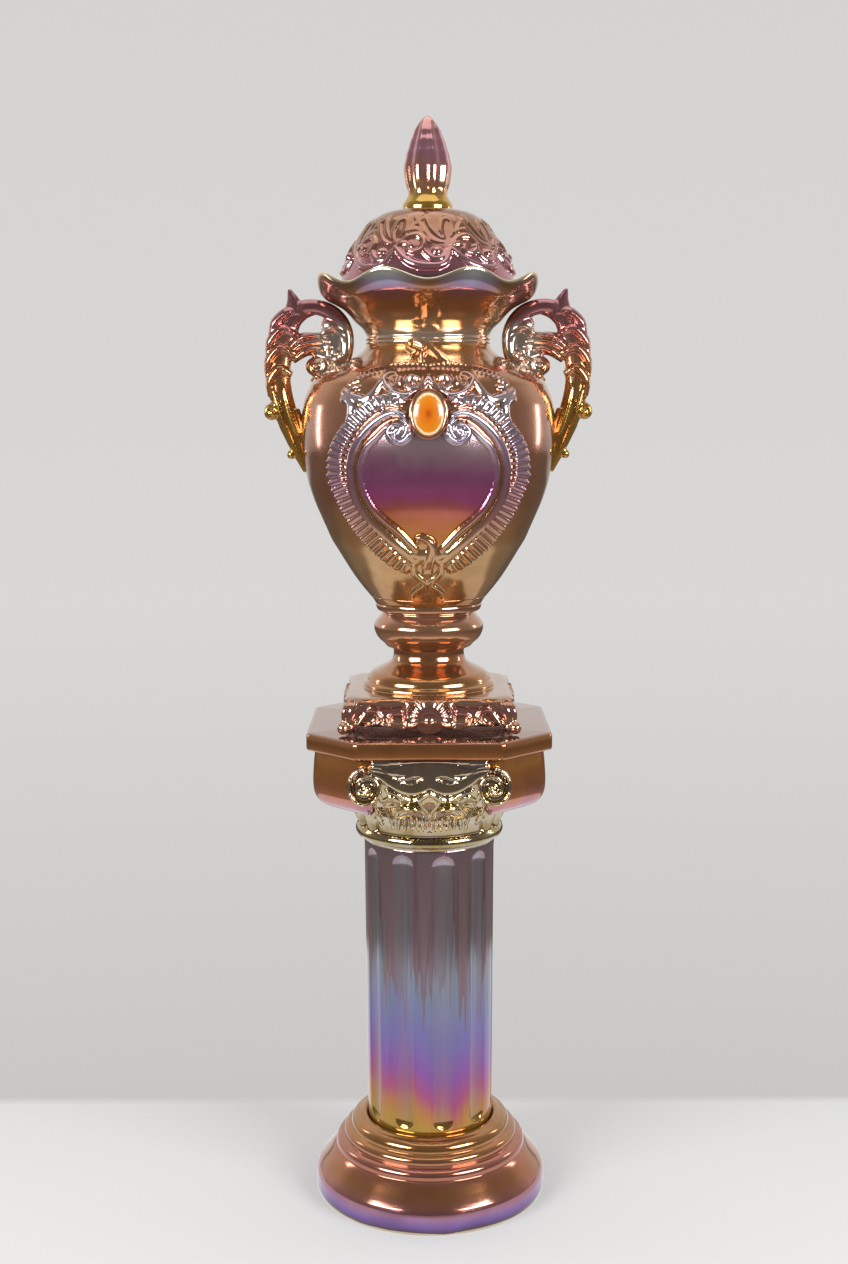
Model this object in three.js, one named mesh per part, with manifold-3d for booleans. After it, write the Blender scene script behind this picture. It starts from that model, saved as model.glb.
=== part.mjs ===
// A lidded two-handled urn on a fluted column pedestal, in lustre-glazed ceramic.
// Millimetres, +Z up, the front faces -Y, and the origin is the centre of the underside.

import * as THREE from "three";
import { mergeVertices } from "three/addons/utils/BufferGeometryUtils.js";
import Module from "manifold-3d";

const wasm = await Module();
wasm.setup();

// Clearance between two pieces that rest on or in each other.
const REST_GAP = 0.3;

// Base ring.
const BASE_RADIUS = 137;
const BASE_HEIGHT = 91;
const BASE_WALL = 8;
const BASE_BORE_RADIUS = 50;
const SHAFT_SOCKET_DEPTH = 9;
const SHAFT_SOCKET_FIT = 1.2;

// Column: shaft, capital, bell and slab.
const COLUMN_HEIGHT = 487.1;
const SHAFT_FOOT_RADIUS = 74.3;
const SHAFT_HEAD_RADIUS = 76.3;
const FLUTE_COUNT = 10;
const FLUTE_DEPTH = 4.5;
const FLUTE_HALF_WIDTH = 13;
const FLUTE_FIRST_ANGLE = THREE.MathUtils.degToRad(12);
const CAPITAL_HEIGHT = 137.4;
const CAPITAL_RING_RADIUS = 86.6;
const LEAF_COUNT = 8;
const SLAB_OVERHANG = 0.7; // how far the slab stands out past the base ring
const SLAB_HALF_WIDTH = BASE_RADIUS + SLAB_OVERHANG;
const SLAB_FLAT_HALF = 81.4;
const SLAB_THICKNESS = 20;
const VOLUTE_RADIUS = 19;
const COLUMN_BORE_RADIUS = 62;

// Urn: foot, stem, bulb, neck and ruffled mouth.
const URN_WALL = 7;
const FOOT_HALF_WIDTH = 91.6;
const FOOT_HEIGHT = 39.5;
const TOE_REACH = 97;
const SHELL_RADIUS = 23;
const STEM_KNOP_RADIUS = 62.5;
const STEM_WAIST_RADIUS = 40.6;
const STEM_TOP = 142;
const BULB_RADIUS = 144;
const BULB_TOP = 436;
const NECK_RADIUS = 69;
const MOUTH_RADIUS = 127;
const MOUTH_HEIGHT = 500;
const RUFFLE_COUNT = 8;
const RUFFLE_RISE = 6.5;
const HANDLE_THICKNESS = 23;
const SEAT_MARGIN = 2; // plain strip of the flare above the lid's seat

// Cartouche on the front of the bulb.
const CARTOUCHE_HALF_WIDTH = 88;
const CARTOUCHE_BOTTOM = 203;
const CARTOUCHE_HEIGHT = 152;
const CABOCHON_HALF_WIDTH = 16.4;
const CABOCHON_HALF_HEIGHT = 22.6;
const CABOCHON_CENTRE = 353;
const BEZEL_WIDTH = 4;
const BEZEL_LIFT = 7;

// Lid and finial.
const LID_RADIUS = 101;
const LID_HEIGHT = 96;
const LID_WALL = 7;
const LID_FLANGE_DEPTH = 12;
const LID_FLANGE_FIT = 2.5;
const LID_SWAG_COUNT = 9;
const LID_SWAG_LIFT = 4;
const FINIAL_HEIGHT = 102.3;
const FINIAL_RADIUS = 27.3;

const FULL_TURN = 2 * Math.PI;
const MOUTH_COLUMNS = 4 * RUFFLE_COUNT; // a column on each crest, trough and flank of the ruffle
const PAST = 5; // how far a cutter runs past the face it opens
const FACET_TOLERANCE = 0.12; // slivers left by the joins are merged within this

const glazes = {
  lid: { color: 0x9c5f57, roughness: 0.18, metalness: 0.55 },
  urn: { color: 0x93582f, roughness: 0.16, metalness: 0.55 },
  cabochon: { color: 0xf59a1b, roughness: 0.2, metalness: 0.0 },
  column: { color: 0x7d6a86, roughness: 0.18, metalness: 0.5 },
  base: { color: 0x8f5742, roughness: 0.16, metalness: 0.55 },
};

// Points and rings

// The point at an angle from the front, turning towards +X.
function polar(angle, radius, z) {
  return new THREE.Vector3(radius * Math.sin(angle), -radius * Math.cos(angle), z);
}

// A value read along a list of evenly spaced values, with share from 0 to 1.
function readAlong(values, share) {
  const place = THREE.MathUtils.clamp(share, 0, 1) * (values.length - 1);
  const low = Math.min(Math.floor(place), values.length - 2);
  return THREE.MathUtils.lerp(values[low], values[low + 1], place - low);
}

// The radius of an outline of [radius, z] points at a height.
function radiusAt(outline, z) {
  const above = outline.findIndex((point) => point.y >= z);
  if (above < 1) return outline.at(above).x;
  const [low, high] = [outline[above - 1], outline[above]];
  return THREE.MathUtils.mapLinear(z, low.y, high.y, low.x, high.x);
}

// A smooth outline through [radius, z] pairs, as evenly spaced points.
function smoothOutline(pairs, count) {
  const curve = new THREE.SplineCurve(pairs.map(([r, z]) => new THREE.Vector2(r, z)));
  return curve.getSpacedPoints(count);
}

function plainOutline(pairs) {
  return pairs.map(([r, z]) => new THREE.Vector2(r, z));
}

// A closed body over rings of points, each ring turning anticlockwise about the way to the next.
function skin(rings) {
  const count = rings[0].length;
  const middle = (ring) =>
    ring.reduce((sum, point) => sum.add(point), new THREE.Vector3()).divideScalar(count);
  const points = [middle(rings[0]), ...rings.flat(), middle(rings.at(-1))];
  const id = (ring, column) => 1 + ring * count + (column % count);
  const faces = [];
  for (let c = 0; c < count; c++) {
    faces.push(0, id(0, c + 1), id(0, c));
    faces.push(points.length - 1, id(rings.length - 1, c), id(rings.length - 1, c + 1));
    for (let r = 0; r + 1 < rings.length; r++) {
      faces.push(id(r, c), id(r, c + 1), id(r + 1, c + 1));
      faces.push(id(r, c), id(r + 1, c + 1), id(r + 1, c));
    }
  }
  return toSolid(new THREE.BufferGeometry().setFromPoints(points).setIndex(faces));
}

// A turned body: the outline goes up, and shape may move each point.
function turned(outline, columns, shape = polar) {
  return skin(
    outline.map((point) =>
      Array.from({ length: columns }, (_, c) => shape((FULL_TURN * c) / columns, point.x, point.y)),
    ),
  );
}

// A tapering bar along a curve. Its widths lie across the curve and its depths along outward.
function bar(points, widths, depths, sides, steps, outward) {
  const path = new THREE.CatmullRomCurve3(points);
  const rings = [];
  for (let s = 0; s <= steps; s++) {
    const share = s / steps;
    const centre = path.getPoint(share);
    const tangent = path.getTangent(share);
    const lift = outward(centre).clone().addScaledVector(tangent, -outward(centre).dot(tangent));
    lift.normalize();
    const across = new THREE.Vector3().crossVectors(lift, tangent);
    rings.push(
      Array.from({ length: sides }, (_, i) => {
        const angle = (FULL_TURN * i) / sides;
        return centre
          .clone()
          .addScaledVector(across, Math.cos(angle) * readAlong(widths, share))
          .addScaledVector(lift, Math.sin(angle) * readAlong(depths, share));
      }),
    );
  }
  return skin(rings);
}

// A ball pressed to three half sizes.
function knob(centre, sizes, columns = 6, rows = 4) {
  const geometry = new THREE.SphereGeometry(1, columns, rows);
  return toSolid(geometry.scale(...sizes).translate(...centre));
}

// Solids

function toSolid(geometry) {
  const bare = geometry.index ? geometry.toNonIndexed() : geometry.clone();
  bare.deleteAttribute("normal");
  bare.deleteAttribute("uv");
  const merged = mergeVertices(bare);
  const vertProperties = merged.attributes.position.array;
  const triVerts = new Uint32Array(merged.index.array);
  return new wasm.Manifold(new wasm.Mesh({ numProp: 3, vertProperties, triVerts }));
}

const join = (solids) => solids.reduce((all, one) => all.add(one));

const AXES = {
  x: new THREE.Vector3(1, 0, 0),
  y: new THREE.Vector3(0, 1, 0),
  z: new THREE.Vector3(0, 0, 1),
};

function mirrored(solid, axis) {
  return solid.mirror(AXES[axis].toArray());
}

function quarterTurns(solid) {
  return [0, 90, 180, 270].map((degrees) => solid.rotate([0, 0, degrees]));
}

function toMesh(name, solid, glaze) {
  const { vertProperties, triVerts } = solid.simplify(FACET_TOLERANCE).getMesh();
  const geometry = new THREE.BufferGeometry();
  geometry.setAttribute("position", new THREE.Float32BufferAttribute(vertProperties, 3));
  geometry.setIndex([...triVerts]);
  geometry.computeVertexNormals();
  const mesh = new THREE.Mesh(geometry, new THREE.MeshStandardMaterial(glaze));
  mesh.name = name;
  return mesh;
}

// Base: three stepped rolls over an ogee, with a socket for the shaft and a hollow beneath.
function makeBase() {
  const socketRadius = SHAFT_FOOT_RADIUS + SHAFT_SOCKET_FIT;
  const seat = BASE_HEIGHT - SHAFT_SOCKET_DEPTH;
  const outline = [
    [BASE_RADIUS - 1.5, 0],
    [BASE_RADIUS, 9],
    [BASE_RADIUS - 1.5, 20],
    [BASE_RADIUS - 8, 37],
    [BASE_RADIUS - 21, 53],
  ];
  const rolls = 3;
  for (let roll = rolls - 1; roll >= 0; roll--) {
    const radius = socketRadius + 8.5 + roll * 7;
    const top = BASE_HEIGHT - 2 - roll * 10;
    outline.push([radius + 5.5, top - 8.5], [radius + 4.5, top - 3], [radius, top]);
  }
  outline.push([socketRadius + 4, BASE_HEIGHT], [socketRadius, BASE_HEIGHT - 2]);
  outline.push([socketRadius, seat], [BASE_BORE_RADIUS, seat], [BASE_BORE_RADIUS, seat - BASE_WALL]);
  outline.push([socketRadius, seat - BASE_WALL - 2], [BASE_RADIUS - 28, 44]);
  outline.push([BASE_RADIUS - BASE_WALL - 2, 20], [BASE_RADIUS - BASE_WALL - 1.5, 0], outline[0]);
  return toSolid(new THREE.LatheGeometry(plainOutline(outline), 24).rotateX(Math.PI / 2));
}

// Column

// A ring of the slab's chamfered square, drawn in to a circle as round goes from 0 to 1.
function slabRing(halfWidth, z, round = 0, circleRadius = 0) {
  const flat = (SLAB_FLAT_HALF * halfWidth) / SLAB_HALF_WIDTH;
  const middle = (halfWidth + flat) / 2;
  const quarter = [
    [0, -halfWidth],
    [flat, -halfWidth],
    [middle, -middle],
    [halfWidth, -flat],
  ];
  return [0, 1, 2, 3].flatMap((turn) =>
    quarter.map(([x, y]) => {
      const corner = new THREE.Vector3(x, y, 0);
      const circle = corner.clone().setLength(circleRadius);
      return corner.lerp(circle, round).applyAxisAngle(AXES.z, (turn * Math.PI) / 2).setZ(z);
    }),
  );
}

function makeColumn() {
  const floor = BASE_HEIGHT - SHAFT_SOCKET_DEPTH + REST_GAP;
  const top = floor + COLUMN_HEIGHT;
  const neck = top - CAPITAL_HEIGHT;
  const pitch = FULL_TURN / FLUTE_COUNT;
  const fluteFoot = BASE_HEIGHT + 8;
  const fluteHead = neck - 8;

  // Depth of the flutes' hollow at an angle and height; both ends are round.
  function fluteDepth(angle, z) {
    const off = THREE.MathUtils.euclideanModulo(angle - FLUTE_FIRST_ANGLE + pitch / 2, pitch) - pitch / 2;
    const across = (off * SHAFT_HEAD_RADIUS) / FLUTE_HALF_WIDTH;
    const past = Math.max(fluteFoot + FLUTE_HALF_WIDTH - z, z - fluteHead + FLUTE_HALF_WIDTH, 0);
    const along = past / FLUTE_HALF_WIDTH;
    return FLUTE_DEPTH * Math.sqrt(Math.max(0, 1 - across * across - along * along));
  }
  const shaftRadius = (z) =>
    THREE.MathUtils.mapLinear(z, floor, neck, SHAFT_FOOT_RADIUS, SHAFT_HEAD_RADIUS);
  const offsets = [-0.5, -0.27, -0.13, 0.13, 0.27];
  const angles = Array.from({ length: FLUTE_COUNT }, (_, f) =>
    offsets.map((offset) => FLUTE_FIRST_ANGLE + (f + offset) * pitch),
  ).flat();
  const rows = [floor, fluteFoot, fluteFoot + 0.8 * FLUTE_HALF_WIDTH];
  rows.push(fluteHead - 0.8 * FLUTE_HALF_WIDTH, fluteHead, neck);
  const shaft = skin(
    rows.map((z) => angles.map((angle) => polar(angle, shaftRadius(z) - fluteDepth(angle, z), z))),
  );

  // Ring under the leaves, and the neck that they stand on.
  const ring = CAPITAL_RING_RADIUS;
  const capitalFoot = turned(
    plainOutline([
      [ring - 10, neck - 1],
      [ring - 2, neck + 4],
      [ring, neck + 9],
      [ring - 3, neck + 14.5],
      [ring - 8, neck + 17],
      [ring + 2, neck + 50],
    ]),
    24,
  );

  // Bell: the slab's plan with a rounded underside.
  const bellTop = top - SLAB_THICKNESS + 2;
  const bell = skin([
    slabRing(SLAB_HALF_WIDTH - 34, neck + 46, 0.7, ring + 4),
    slabRing(SLAB_HALF_WIDTH - 19, neck + 51, 0.12, ring + 18),
    slabRing(SLAB_HALF_WIDTH - 11, neck + 58),
    slabRing(SLAB_HALF_WIDTH - 7, neck + 70),
    slabRing(SLAB_HALF_WIDTH - 7, neck + 96),
    slabRing(SLAB_HALF_WIDTH - 9, bellTop),
  ]);
  const slab = skin([
    slabRing(SLAB_HALF_WIDTH - 4, top - SLAB_THICKNESS),
    slabRing(SLAB_HALF_WIDTH, top - SLAB_THICKNESS + 4),
    slabRing(SLAB_HALF_WIDTH, top - 3),
    slabRing(SLAB_HALF_WIDTH - 3, top),
  ]);

  // Leaves that stand round the neck and curl out at their tips.
  const leaves = Array.from({ length: LEAF_COUNT }, (_, l) => {
    const angle = (FULL_TURN * (l + 0.5)) / LEAF_COUNT;
    const spine = [
      [ring - 12, 16],
      [ring - 8, 32],
      [ring - 2, 46],
      [ring + 9, 54],
    ].map(([radius, rise]) => polar(angle, radius, neck + rise));
    return bar(spine, [20, 23, 21, 8], [5, 5, 5, 2], 4, 3, () => polar(angle, 1, 0));
  });

  // Volutes and the bow between them, on the front and on the back.
  const faceY = -SLAB_HALF_WIDTH + 9;
  const voluteX = 67;
  const voluteZ = neck + 87;
  const turns = 8;
  const spiral = Array.from({ length: turns }, (_, s) => {
    const angle = s * 1.1 + 2.2;
    const radius = 0.82 * VOLUTE_RADIUS * (1 - s / (turns + 1));
    return new THREE.Vector3(voluteX + radius * Math.cos(angle), faceY, voluteZ - radius * Math.sin(angle));
  });
  const across = () => AXES.y;
  const scroll = bar(spiral, [4.5, 4, 3], [8, 8, 7], 4, turns, across);
  const disc = toSolid(
    new THREE.CylinderGeometry(VOLUTE_RADIUS - 2, VOLUTE_RADIUS - 2, 9, 10).translate(voluteX, faceY, voluteZ),
  );
  const bow = bar(
    [
      new THREE.Vector3(voluteX - 12, faceY, voluteZ + 14),
      new THREE.Vector3(32, faceY, neck + 82),
      new THREE.Vector3(0, faceY, neck + 91),
    ],
    [6, 7, 6],
    [7, 8, 7],
    4,
    3,
    across,
  );
  const chevron = bar(
    [
      new THREE.Vector3(0, faceY + 2, neck + 84),
      new THREE.Vector3(0, faceY + 4, neck + 66),
      new THREE.Vector3(0, faceY + 22, neck + 44),
    ],
    [3, 24, 4],
    [4, 9, 4],
    4,
    3,
    across,
  );
  const half = join([scroll, disc, bow]);
  const face = join([half, mirrored(half, "x"), chevron]);
  const solid = join([shaft, capitalFoot, bell, slab, ...leaves, face, face.rotate([0, 0, 180])]);

  const bore = turned(
    plainOutline([
      [COLUMN_BORE_RADIUS, floor - PAST],
      [COLUMN_BORE_RADIUS, top - SLAB_THICKNESS - 12],
      [COLUMN_BORE_RADIUS - 14, top - SLAB_THICKNESS],
    ]),
    16,
  );
  return { solid: solid.subtract(bore), top };
}

// Urn

const bulbOutline = smoothOutline(
  [
    [0.44, 0],
    [0.65, 0.14],
    [0.86, 0.33],
    [0.955, 0.47],
    [1, 0.64],
    [0.98, 0.765],
    [0.915, 0.84],
    [0.7, 0.905],
    [0.51, 0.955],
  ].map(([r, z]) => [r * BULB_RADIUS, THREE.MathUtils.lerp(STEM_TOP, BULB_TOP, z)]),
  9,
);

// The point on the bulb at a distance across and up, lifted off the glaze along its normal.
function onBulb(across, z, lift = 0) {
  const radius = radiusAt(bulbOutline, z);
  const slope = (radiusAt(bulbOutline, z + 2) - radiusAt(bulbOutline, z - 2)) / 4;
  const angle = Math.asin(THREE.MathUtils.clamp(across / radius, -1, 1));
  const normal = polar(angle, 1, -slope).normalize();
  return polar(angle, radius, z).addScaledVector(normal, lift);
}

// The way out of the glaze at a point of the bulb.
function outOfBulb(point) {
  return new THREE.Vector3(point.x, point.y, 0).normalize();
}

// Ruffle of the mouth: lobes that rise between troughs, growing from start to the edge.
function ruffled(start) {
  return (angle, radius, z) => {
    const grown = THREE.MathUtils.smoothstep(z, start, MOUTH_HEIGHT);
    const wave = -Math.cos(RUFFLE_COUNT * angle) * grown;
    return polar(angle, radius - wave, z + wave * RUFFLE_RISE);
  };
}

const neckRise = MOUTH_HEIGHT - BULB_TOP;
const flareOutline = plainOutline([
  [NECK_RADIUS, BULB_TOP - 8],
  [NECK_RADIUS, BULB_TOP],
  [NECK_RADIUS + 13.5, BULB_TOP + 0.31 * neckRise],
  [NECK_RADIUS + 26, BULB_TOP + 0.52 * neckRise],
  [MOUTH_RADIUS - 9, BULB_TOP + 0.75 * neckRise],
  [MOUTH_RADIUS, BULB_TOP + 0.93 * neckRise],
  [MOUTH_RADIUS - 1, MOUTH_HEIGHT],
]);

// The flare's inner face, a wall's thickness inside the outer one.
const mouthOutline = plainOutline([
  [NECK_RADIUS - URN_WALL, BULB_TOP],
  [NECK_RADIUS + 5 - URN_WALL, BULB_TOP + 0.2 * neckRise],
  [NECK_RADIUS + 26 - 1.4 * URN_WALL, BULB_TOP + 0.54 * neckRise],
  [MOUTH_RADIUS - 9 - 1.2 * URN_WALL, BULB_TOP + 0.8 * neckRise],
  [MOUTH_RADIUS - 5, MOUTH_HEIGHT + 0.4],
]);

// The lid rests where its edge meets the flare's inner face, below the ruffle.
const mouthTurned = mouthOutline.map((point) => new THREE.Vector2(point.y, point.x));
const lidSeat = radiusAt(mouthTurned, LID_RADIUS / Math.cos(Math.PI / MOUTH_COLUMNS));

// One handle, on +X: an outer arm of leaves, a rosette against the neck and a curled knob.
function makeHandle() {
  // Drawn on a bulb 144 in radius with its top at 436, and drawn wider or taller with the bulb.
  const place = (out, z) => new THREE.Vector3(BULB_RADIUS * (1 + out / 144), 0, (BULB_TOP * z) / 436);
  const side = () => AXES.y;
  const half = HANDLE_THICKNESS / 2;
  const arm = bar(
    [
      [-56, 432],
      [-50, 455],
      [-36, 468],
      [-19, 471],
      [-2, 469],
      [13, 457],
      [24, 439],
      [28, 419],
      [27, 396],
      [23.5, 376],
      [17, 357],
      [8.5, 338],
      [3, 320],
      [-3, 302],
      [-6, 287],
    ].map(([out, z]) => place(out, z)),
    [4, 6, 8, 9, 11, 13, 13.5, 13.5, 12.5, 13, 15, 14, 10, 7.5, 3],
    [6, 8, 9, 10, half, half, half, half, half, 11, 10.5, 10, 9, 7, 3],
    6,
    11,
    side,
  );
  const spike = bar([place(-2, 470), place(7, 480), place(11.4, 492)], [9, 6, 1], [8, 5, 1], 4, 2, side);
  const strut = bar([place(14, 428), place(-8, 430), place(-26, 428)], [12, 12], [8, 8], 4, 1, side);
  const rosette = knob(place(-41, 439).toArray(), [24, half, 26], 8, 3);
  const curl = knob(place(-18, 408).toArray(), [11, half - 2, 11]);
  const root = bar([place(-24, 402), place(-36, 384)], [9, 9], [9, 9], 4, 1, side);
  const tipKnob = knob(place(34.5, 356.5).toArray(), [9, 9, 9]);
  const bump = knob(place(12, 308).toArray(), [6, 6, 6], 5, 3);
  // Leaves that lap over the arm, each with a free tip on the outside.
  const lobes = [
    [14, 468, 31, 440],
    [28, 438, 32, 408],
  ].map(([fromOut, fromZ, toOut, toZ]) =>
    bar(
      [place(fromOut - 6, fromZ), place((fromOut + toOut) / 2 + 1, (fromZ + toZ) / 2), place(toOut, toZ)],
      [5, 8, 3],
      [half - 2, half + 3, half - 2],
      4,
      2,
      side,
    ),
  );
  return join([arm, spike, strut, rosette, curl, root, tipKnob, bump, ...lobes]);
}

// Square foot: a moulded plinth on four curled toes, with a shell on each side.
function makeFoot() {
  const columns = 16;
  const squareRing = (halfWidth, z, roundShare) =>
    Array.from({ length: columns }, (_, c) => {
      const angle = (FULL_TURN * c) / columns;
      const square = halfWidth / Math.max(Math.abs(Math.cos(angle)), Math.abs(Math.sin(angle)));
      const corner = Math.min(square, halfWidth * 1.34);
      return polar(angle, THREE.MathUtils.lerp(corner, halfWidth, roundShare), z);
    });
  const block = skin([
    squareRing(FOOT_HALF_WIDTH - 2, 4, 0),
    squareRing(FOOT_HALF_WIDTH + 1, 20, 0),
    squareRing(FOOT_HALF_WIDTH, FOOT_HEIGHT - 4, 0),
    squareRing(FOOT_HALF_WIDTH - 4, FOOT_HEIGHT, 0),
    squareRing(FOOT_HALF_WIDTH - 14, FOOT_HEIGHT + 5, 1),
  ]);
  const faceY = -FOOT_HALF_WIDTH;
  // A fan of ribs, narrow at the hinge and scalloped at the edge.
  const ribs = 5;
  const fanRing = (y, radius) =>
    Array.from({ length: 2 * ribs }, (_, i) => {
      const angle = Math.PI * (i / (2 * ribs - 1)) * 1.24 - 0.12 * Math.PI;
      const reach = radius * (i % 2 ? 1 : 0.9);
      return new THREE.Vector3(-reach * Math.cos(angle), y - (i % 2 ? 2 : 0), 15 + reach * Math.sin(angle));
    });
  const shell = skin([fanRing(faceY - 5, SHELL_RADIUS), fanRing(faceY + 6, SHELL_RADIUS)]);
  const toe = bar(
    [
      [FOOT_HALF_WIDTH - 12, FOOT_HEIGHT - 1],
      [FOOT_HALF_WIDTH - 5, FOOT_HEIGHT - 12],
      [FOOT_HALF_WIDTH - 4, 14],
      [TOE_REACH - 5, 6],
      [TOE_REACH, 6],
    ].map(([reach, z]) => new THREE.Vector3(reach, reach, z)),
    [12, 13, 11, 9, 7],
    [6, 8, 7, 6, 5.9],
    5,
    3,
    (point) => new THREE.Vector3(point.x, point.y, 0).normalize().add(new THREE.Vector3(0, 0, 0.35)),
  );
  const curl = knob([TOE_REACH - 1, TOE_REACH - 1, 7.6], [7.5, 7.5, 7.5], 5, 3);
  const outer = join([block, ...quarterTurns(shell), ...quarterTurns(toe.add(curl))]);

  // Arches between the toes: low at the shell, higher beside the toes.
  const arch = new THREE.Shape();
  const archHalf = FOOT_HALF_WIDTH - 20;
  arch.moveTo(-archHalf, -PAST);
  arch.lineTo(-archHalf, 2);
  arch.lineTo(-archHalf + 12, 9);
  arch.lineTo(0, 4.5);
  arch.lineTo(archHalf - 12, 9);
  arch.lineTo(archHalf, 2);
  arch.lineTo(archHalf, -PAST);
  const length = 3 * TOE_REACH;
  const tunnel = toSolid(
    new THREE.ExtrudeGeometry(arch, { depth: length, bevelEnabled: false })
      .translate(0, 0, -length / 2)
      .rotateX(Math.PI / 2),
  );
  return outer.subtract(tunnel).subtract(tunnel.rotate([0, 0, 90]));
}

function makeUrn() {
  const stemOutline = plainOutline([
    [STEM_WAIST_RADIUS + 33, FOOT_HEIGHT - 2],
    [STEM_WAIST_RADIUS + 35, FOOT_HEIGHT + 5],
    [STEM_WAIST_RADIUS + 31, FOOT_HEIGHT + 9],
    [STEM_WAIST_RADIUS + 22, FOOT_HEIGHT + 19],
    [STEM_WAIST_RADIUS + 7, FOOT_HEIGHT + 28],
    [STEM_WAIST_RADIUS, 0.556 * STEM_TOP],
    [STEM_WAIST_RADIUS + 2, 0.613 * STEM_TOP],
    [STEM_KNOP_RADIUS - 8, 0.662 * STEM_TOP],
    [STEM_KNOP_RADIUS, 0.746 * STEM_TOP],
    [STEM_KNOP_RADIUS - 2, 0.824 * STEM_TOP],
    [STEM_KNOP_RADIUS - 9, 0.894 * STEM_TOP],
    [STEM_KNOP_RADIUS - 2.5, 0.937 * STEM_TOP],
    [STEM_KNOP_RADIUS - 2.5, 0.972 * STEM_TOP],
    [bulbOutline[0].x - 1, STEM_TOP - 1],
    [bulbOutline[1].x - 1, bulbOutline[1].y],
  ]);
  const stem = turned(stemOutline, 16);
  const bulb = turned([...bulbOutline, ...flareOutline], MOUTH_COLUMNS, ruffled(BULB_TOP + 0.5 * neckRise));

  // Cartouche: a heart-shaped rib with curled ends, and a comb of small lobes round it.
  const heart = [
    [0.3, 0.93],
    [0.4, 1.01],
    [0.57, 1.01],
    [0.77, 0.92],
    [0.93, 0.77],
    [1, 0.585],
    [0.94, 0.41],
    [0.77, 0.235],
    [0.55, 0.105],
    [0.34, 0.03],
    [0.2, 0],
  ];
  const along = (grow, lift) =>
    heart.map(([x, z]) => {
      const across = x * CARTOUCHE_HALF_WIDTH;
      const middle = CARTOUCHE_BOTTOM + 0.55 * CARTOUCHE_HEIGHT;
      const up = CARTOUCHE_BOTTOM + z * CARTOUCHE_HEIGHT;
      const way = new THREE.Vector2(across, 0.9 * (up - middle)).normalize();
      return onBulb(across + grow * way.x, up + grow * way.y, lift);
    });
  const rib = bar(along(0, 1), [5, 6, 6, 6, 5, 4], [5, 6, 6, 6, 5, 4], 4, 10, outOfBulb);
  const lobes = 6;
  const comb = Array.from({ length: 2 * lobes + 1 }, (_, i) => (i % 2 ? 7 : 3.5));
  const fringe = bar(along(13, 0), comb, comb.map((size) => 0.6 * size), 4, 2 * lobes, outOfBulb);
  const ribEnd = knob(onBulb(0.365 * CARTOUCHE_HALF_WIDTH, 334, 1).toArray(), [8, 6, 8]);
  const acanthus = bar(
    [onBulb(4, 398, 1), onBulb(20, 384, 2), onBulb(44, 385, 2), onBulb(70, 386, 2), onBulb(92, 372, 1)],
    [5, 9, 10, 9, 3],
    [4, 5, 5, 5, 2],
    4,
    4,
    outOfBulb,
  );
  const rightHalf = join([rib, ribEnd, fringe, acanthus]);
  const knot = knob(onBulb(0, 182, 0).toArray(), [11, 5, 13]);
  const curlLeaf = bar(
    [onBulb(0, 196, 2), onBulb(-2, 210, 4), onBulb(-9, 219, 4)],
    [7, 7, 2],
    [4, 5, 2],
    4,
    2,
    outOfBulb,
  );
  const crestLeaf = bar(
    [onBulb(0, 404, 2), polar(-0.02, NECK_RADIUS + 7, 420), polar(-0.1, NECK_RADIUS + 6, 433)],
    [9, 7, 3],
    [4, 4, 2],
    4,
    2,
    outOfBulb,
  );

  // Bezel that holds the cabochon, and the pocket that it sits in.
  const ovalRing = (x, z, y) =>
    Array.from({ length: 16 }, (_, i) => {
      const angle = (FULL_TURN * i) / 16;
      return new THREE.Vector3(x * Math.cos(angle), y, CABOCHON_CENTRE + z * Math.sin(angle));
    });
  const face = cabochonFace();
  const oval = (grow, fromY, toY) =>
    skin([
      ovalRing(CABOCHON_HALF_WIDTH + grow, CABOCHON_HALF_HEIGHT + grow, toY),
      ovalRing(CABOCHON_HALF_WIDTH + grow, CABOCHON_HALF_HEIGHT + grow, fromY),
    ]);
  const bezel = oval(BEZEL_WIDTH, face, face + BEZEL_LIFT + 4);
  const pocket = oval(REST_GAP, face - PAST, face + BEZEL_LIFT - 2);

  // The back carries the ribs, the knot and the oval again, with no cabochon in it.
  const backWork = join([rib, mirrored(rib, "x"), knot, bezel]).rotate([0, 0, 180]);
  const handle = makeHandle();
  const outside = join([
    makeFoot(),
    stem,
    bulb,
    rightHalf,
    mirrored(rightHalf, "x"),
    knot,
    curlLeaf,
    crestLeaf,
    bezel,
    backWork,
    handle,
    mirrored(handle, "x"),
  ]);

  // Hollow of the bulb, open at the mouth.
  const innerBulb = bulbOutline
    .filter((point) => point.y > STEM_TOP + 8 && point.y < BULB_TOP - 20)
    .map((point) => new THREE.Vector2(point.x - 1.15 * URN_WALL, point.y));
  innerBulb.push(new THREE.Vector2(NECK_RADIUS - URN_WALL, BULB_TOP - 10));
  innerBulb.push(new THREE.Vector2(NECK_RADIUS - URN_WALL, BULB_TOP + 2));
  const cavity = turned(innerBulb.filter((_, i) => i % 2 === 0 || i > innerBulb.length - 4), 16);
  const aboveMouth = new THREE.Vector2(MOUTH_RADIUS + 2, MOUTH_HEIGHT + 4 * RUFFLE_RISE);
  const mouth = turned([...mouthOutline, aboveMouth], MOUTH_COLUMNS, ruffled(lidSeat + SEAT_MARGIN));

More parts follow.
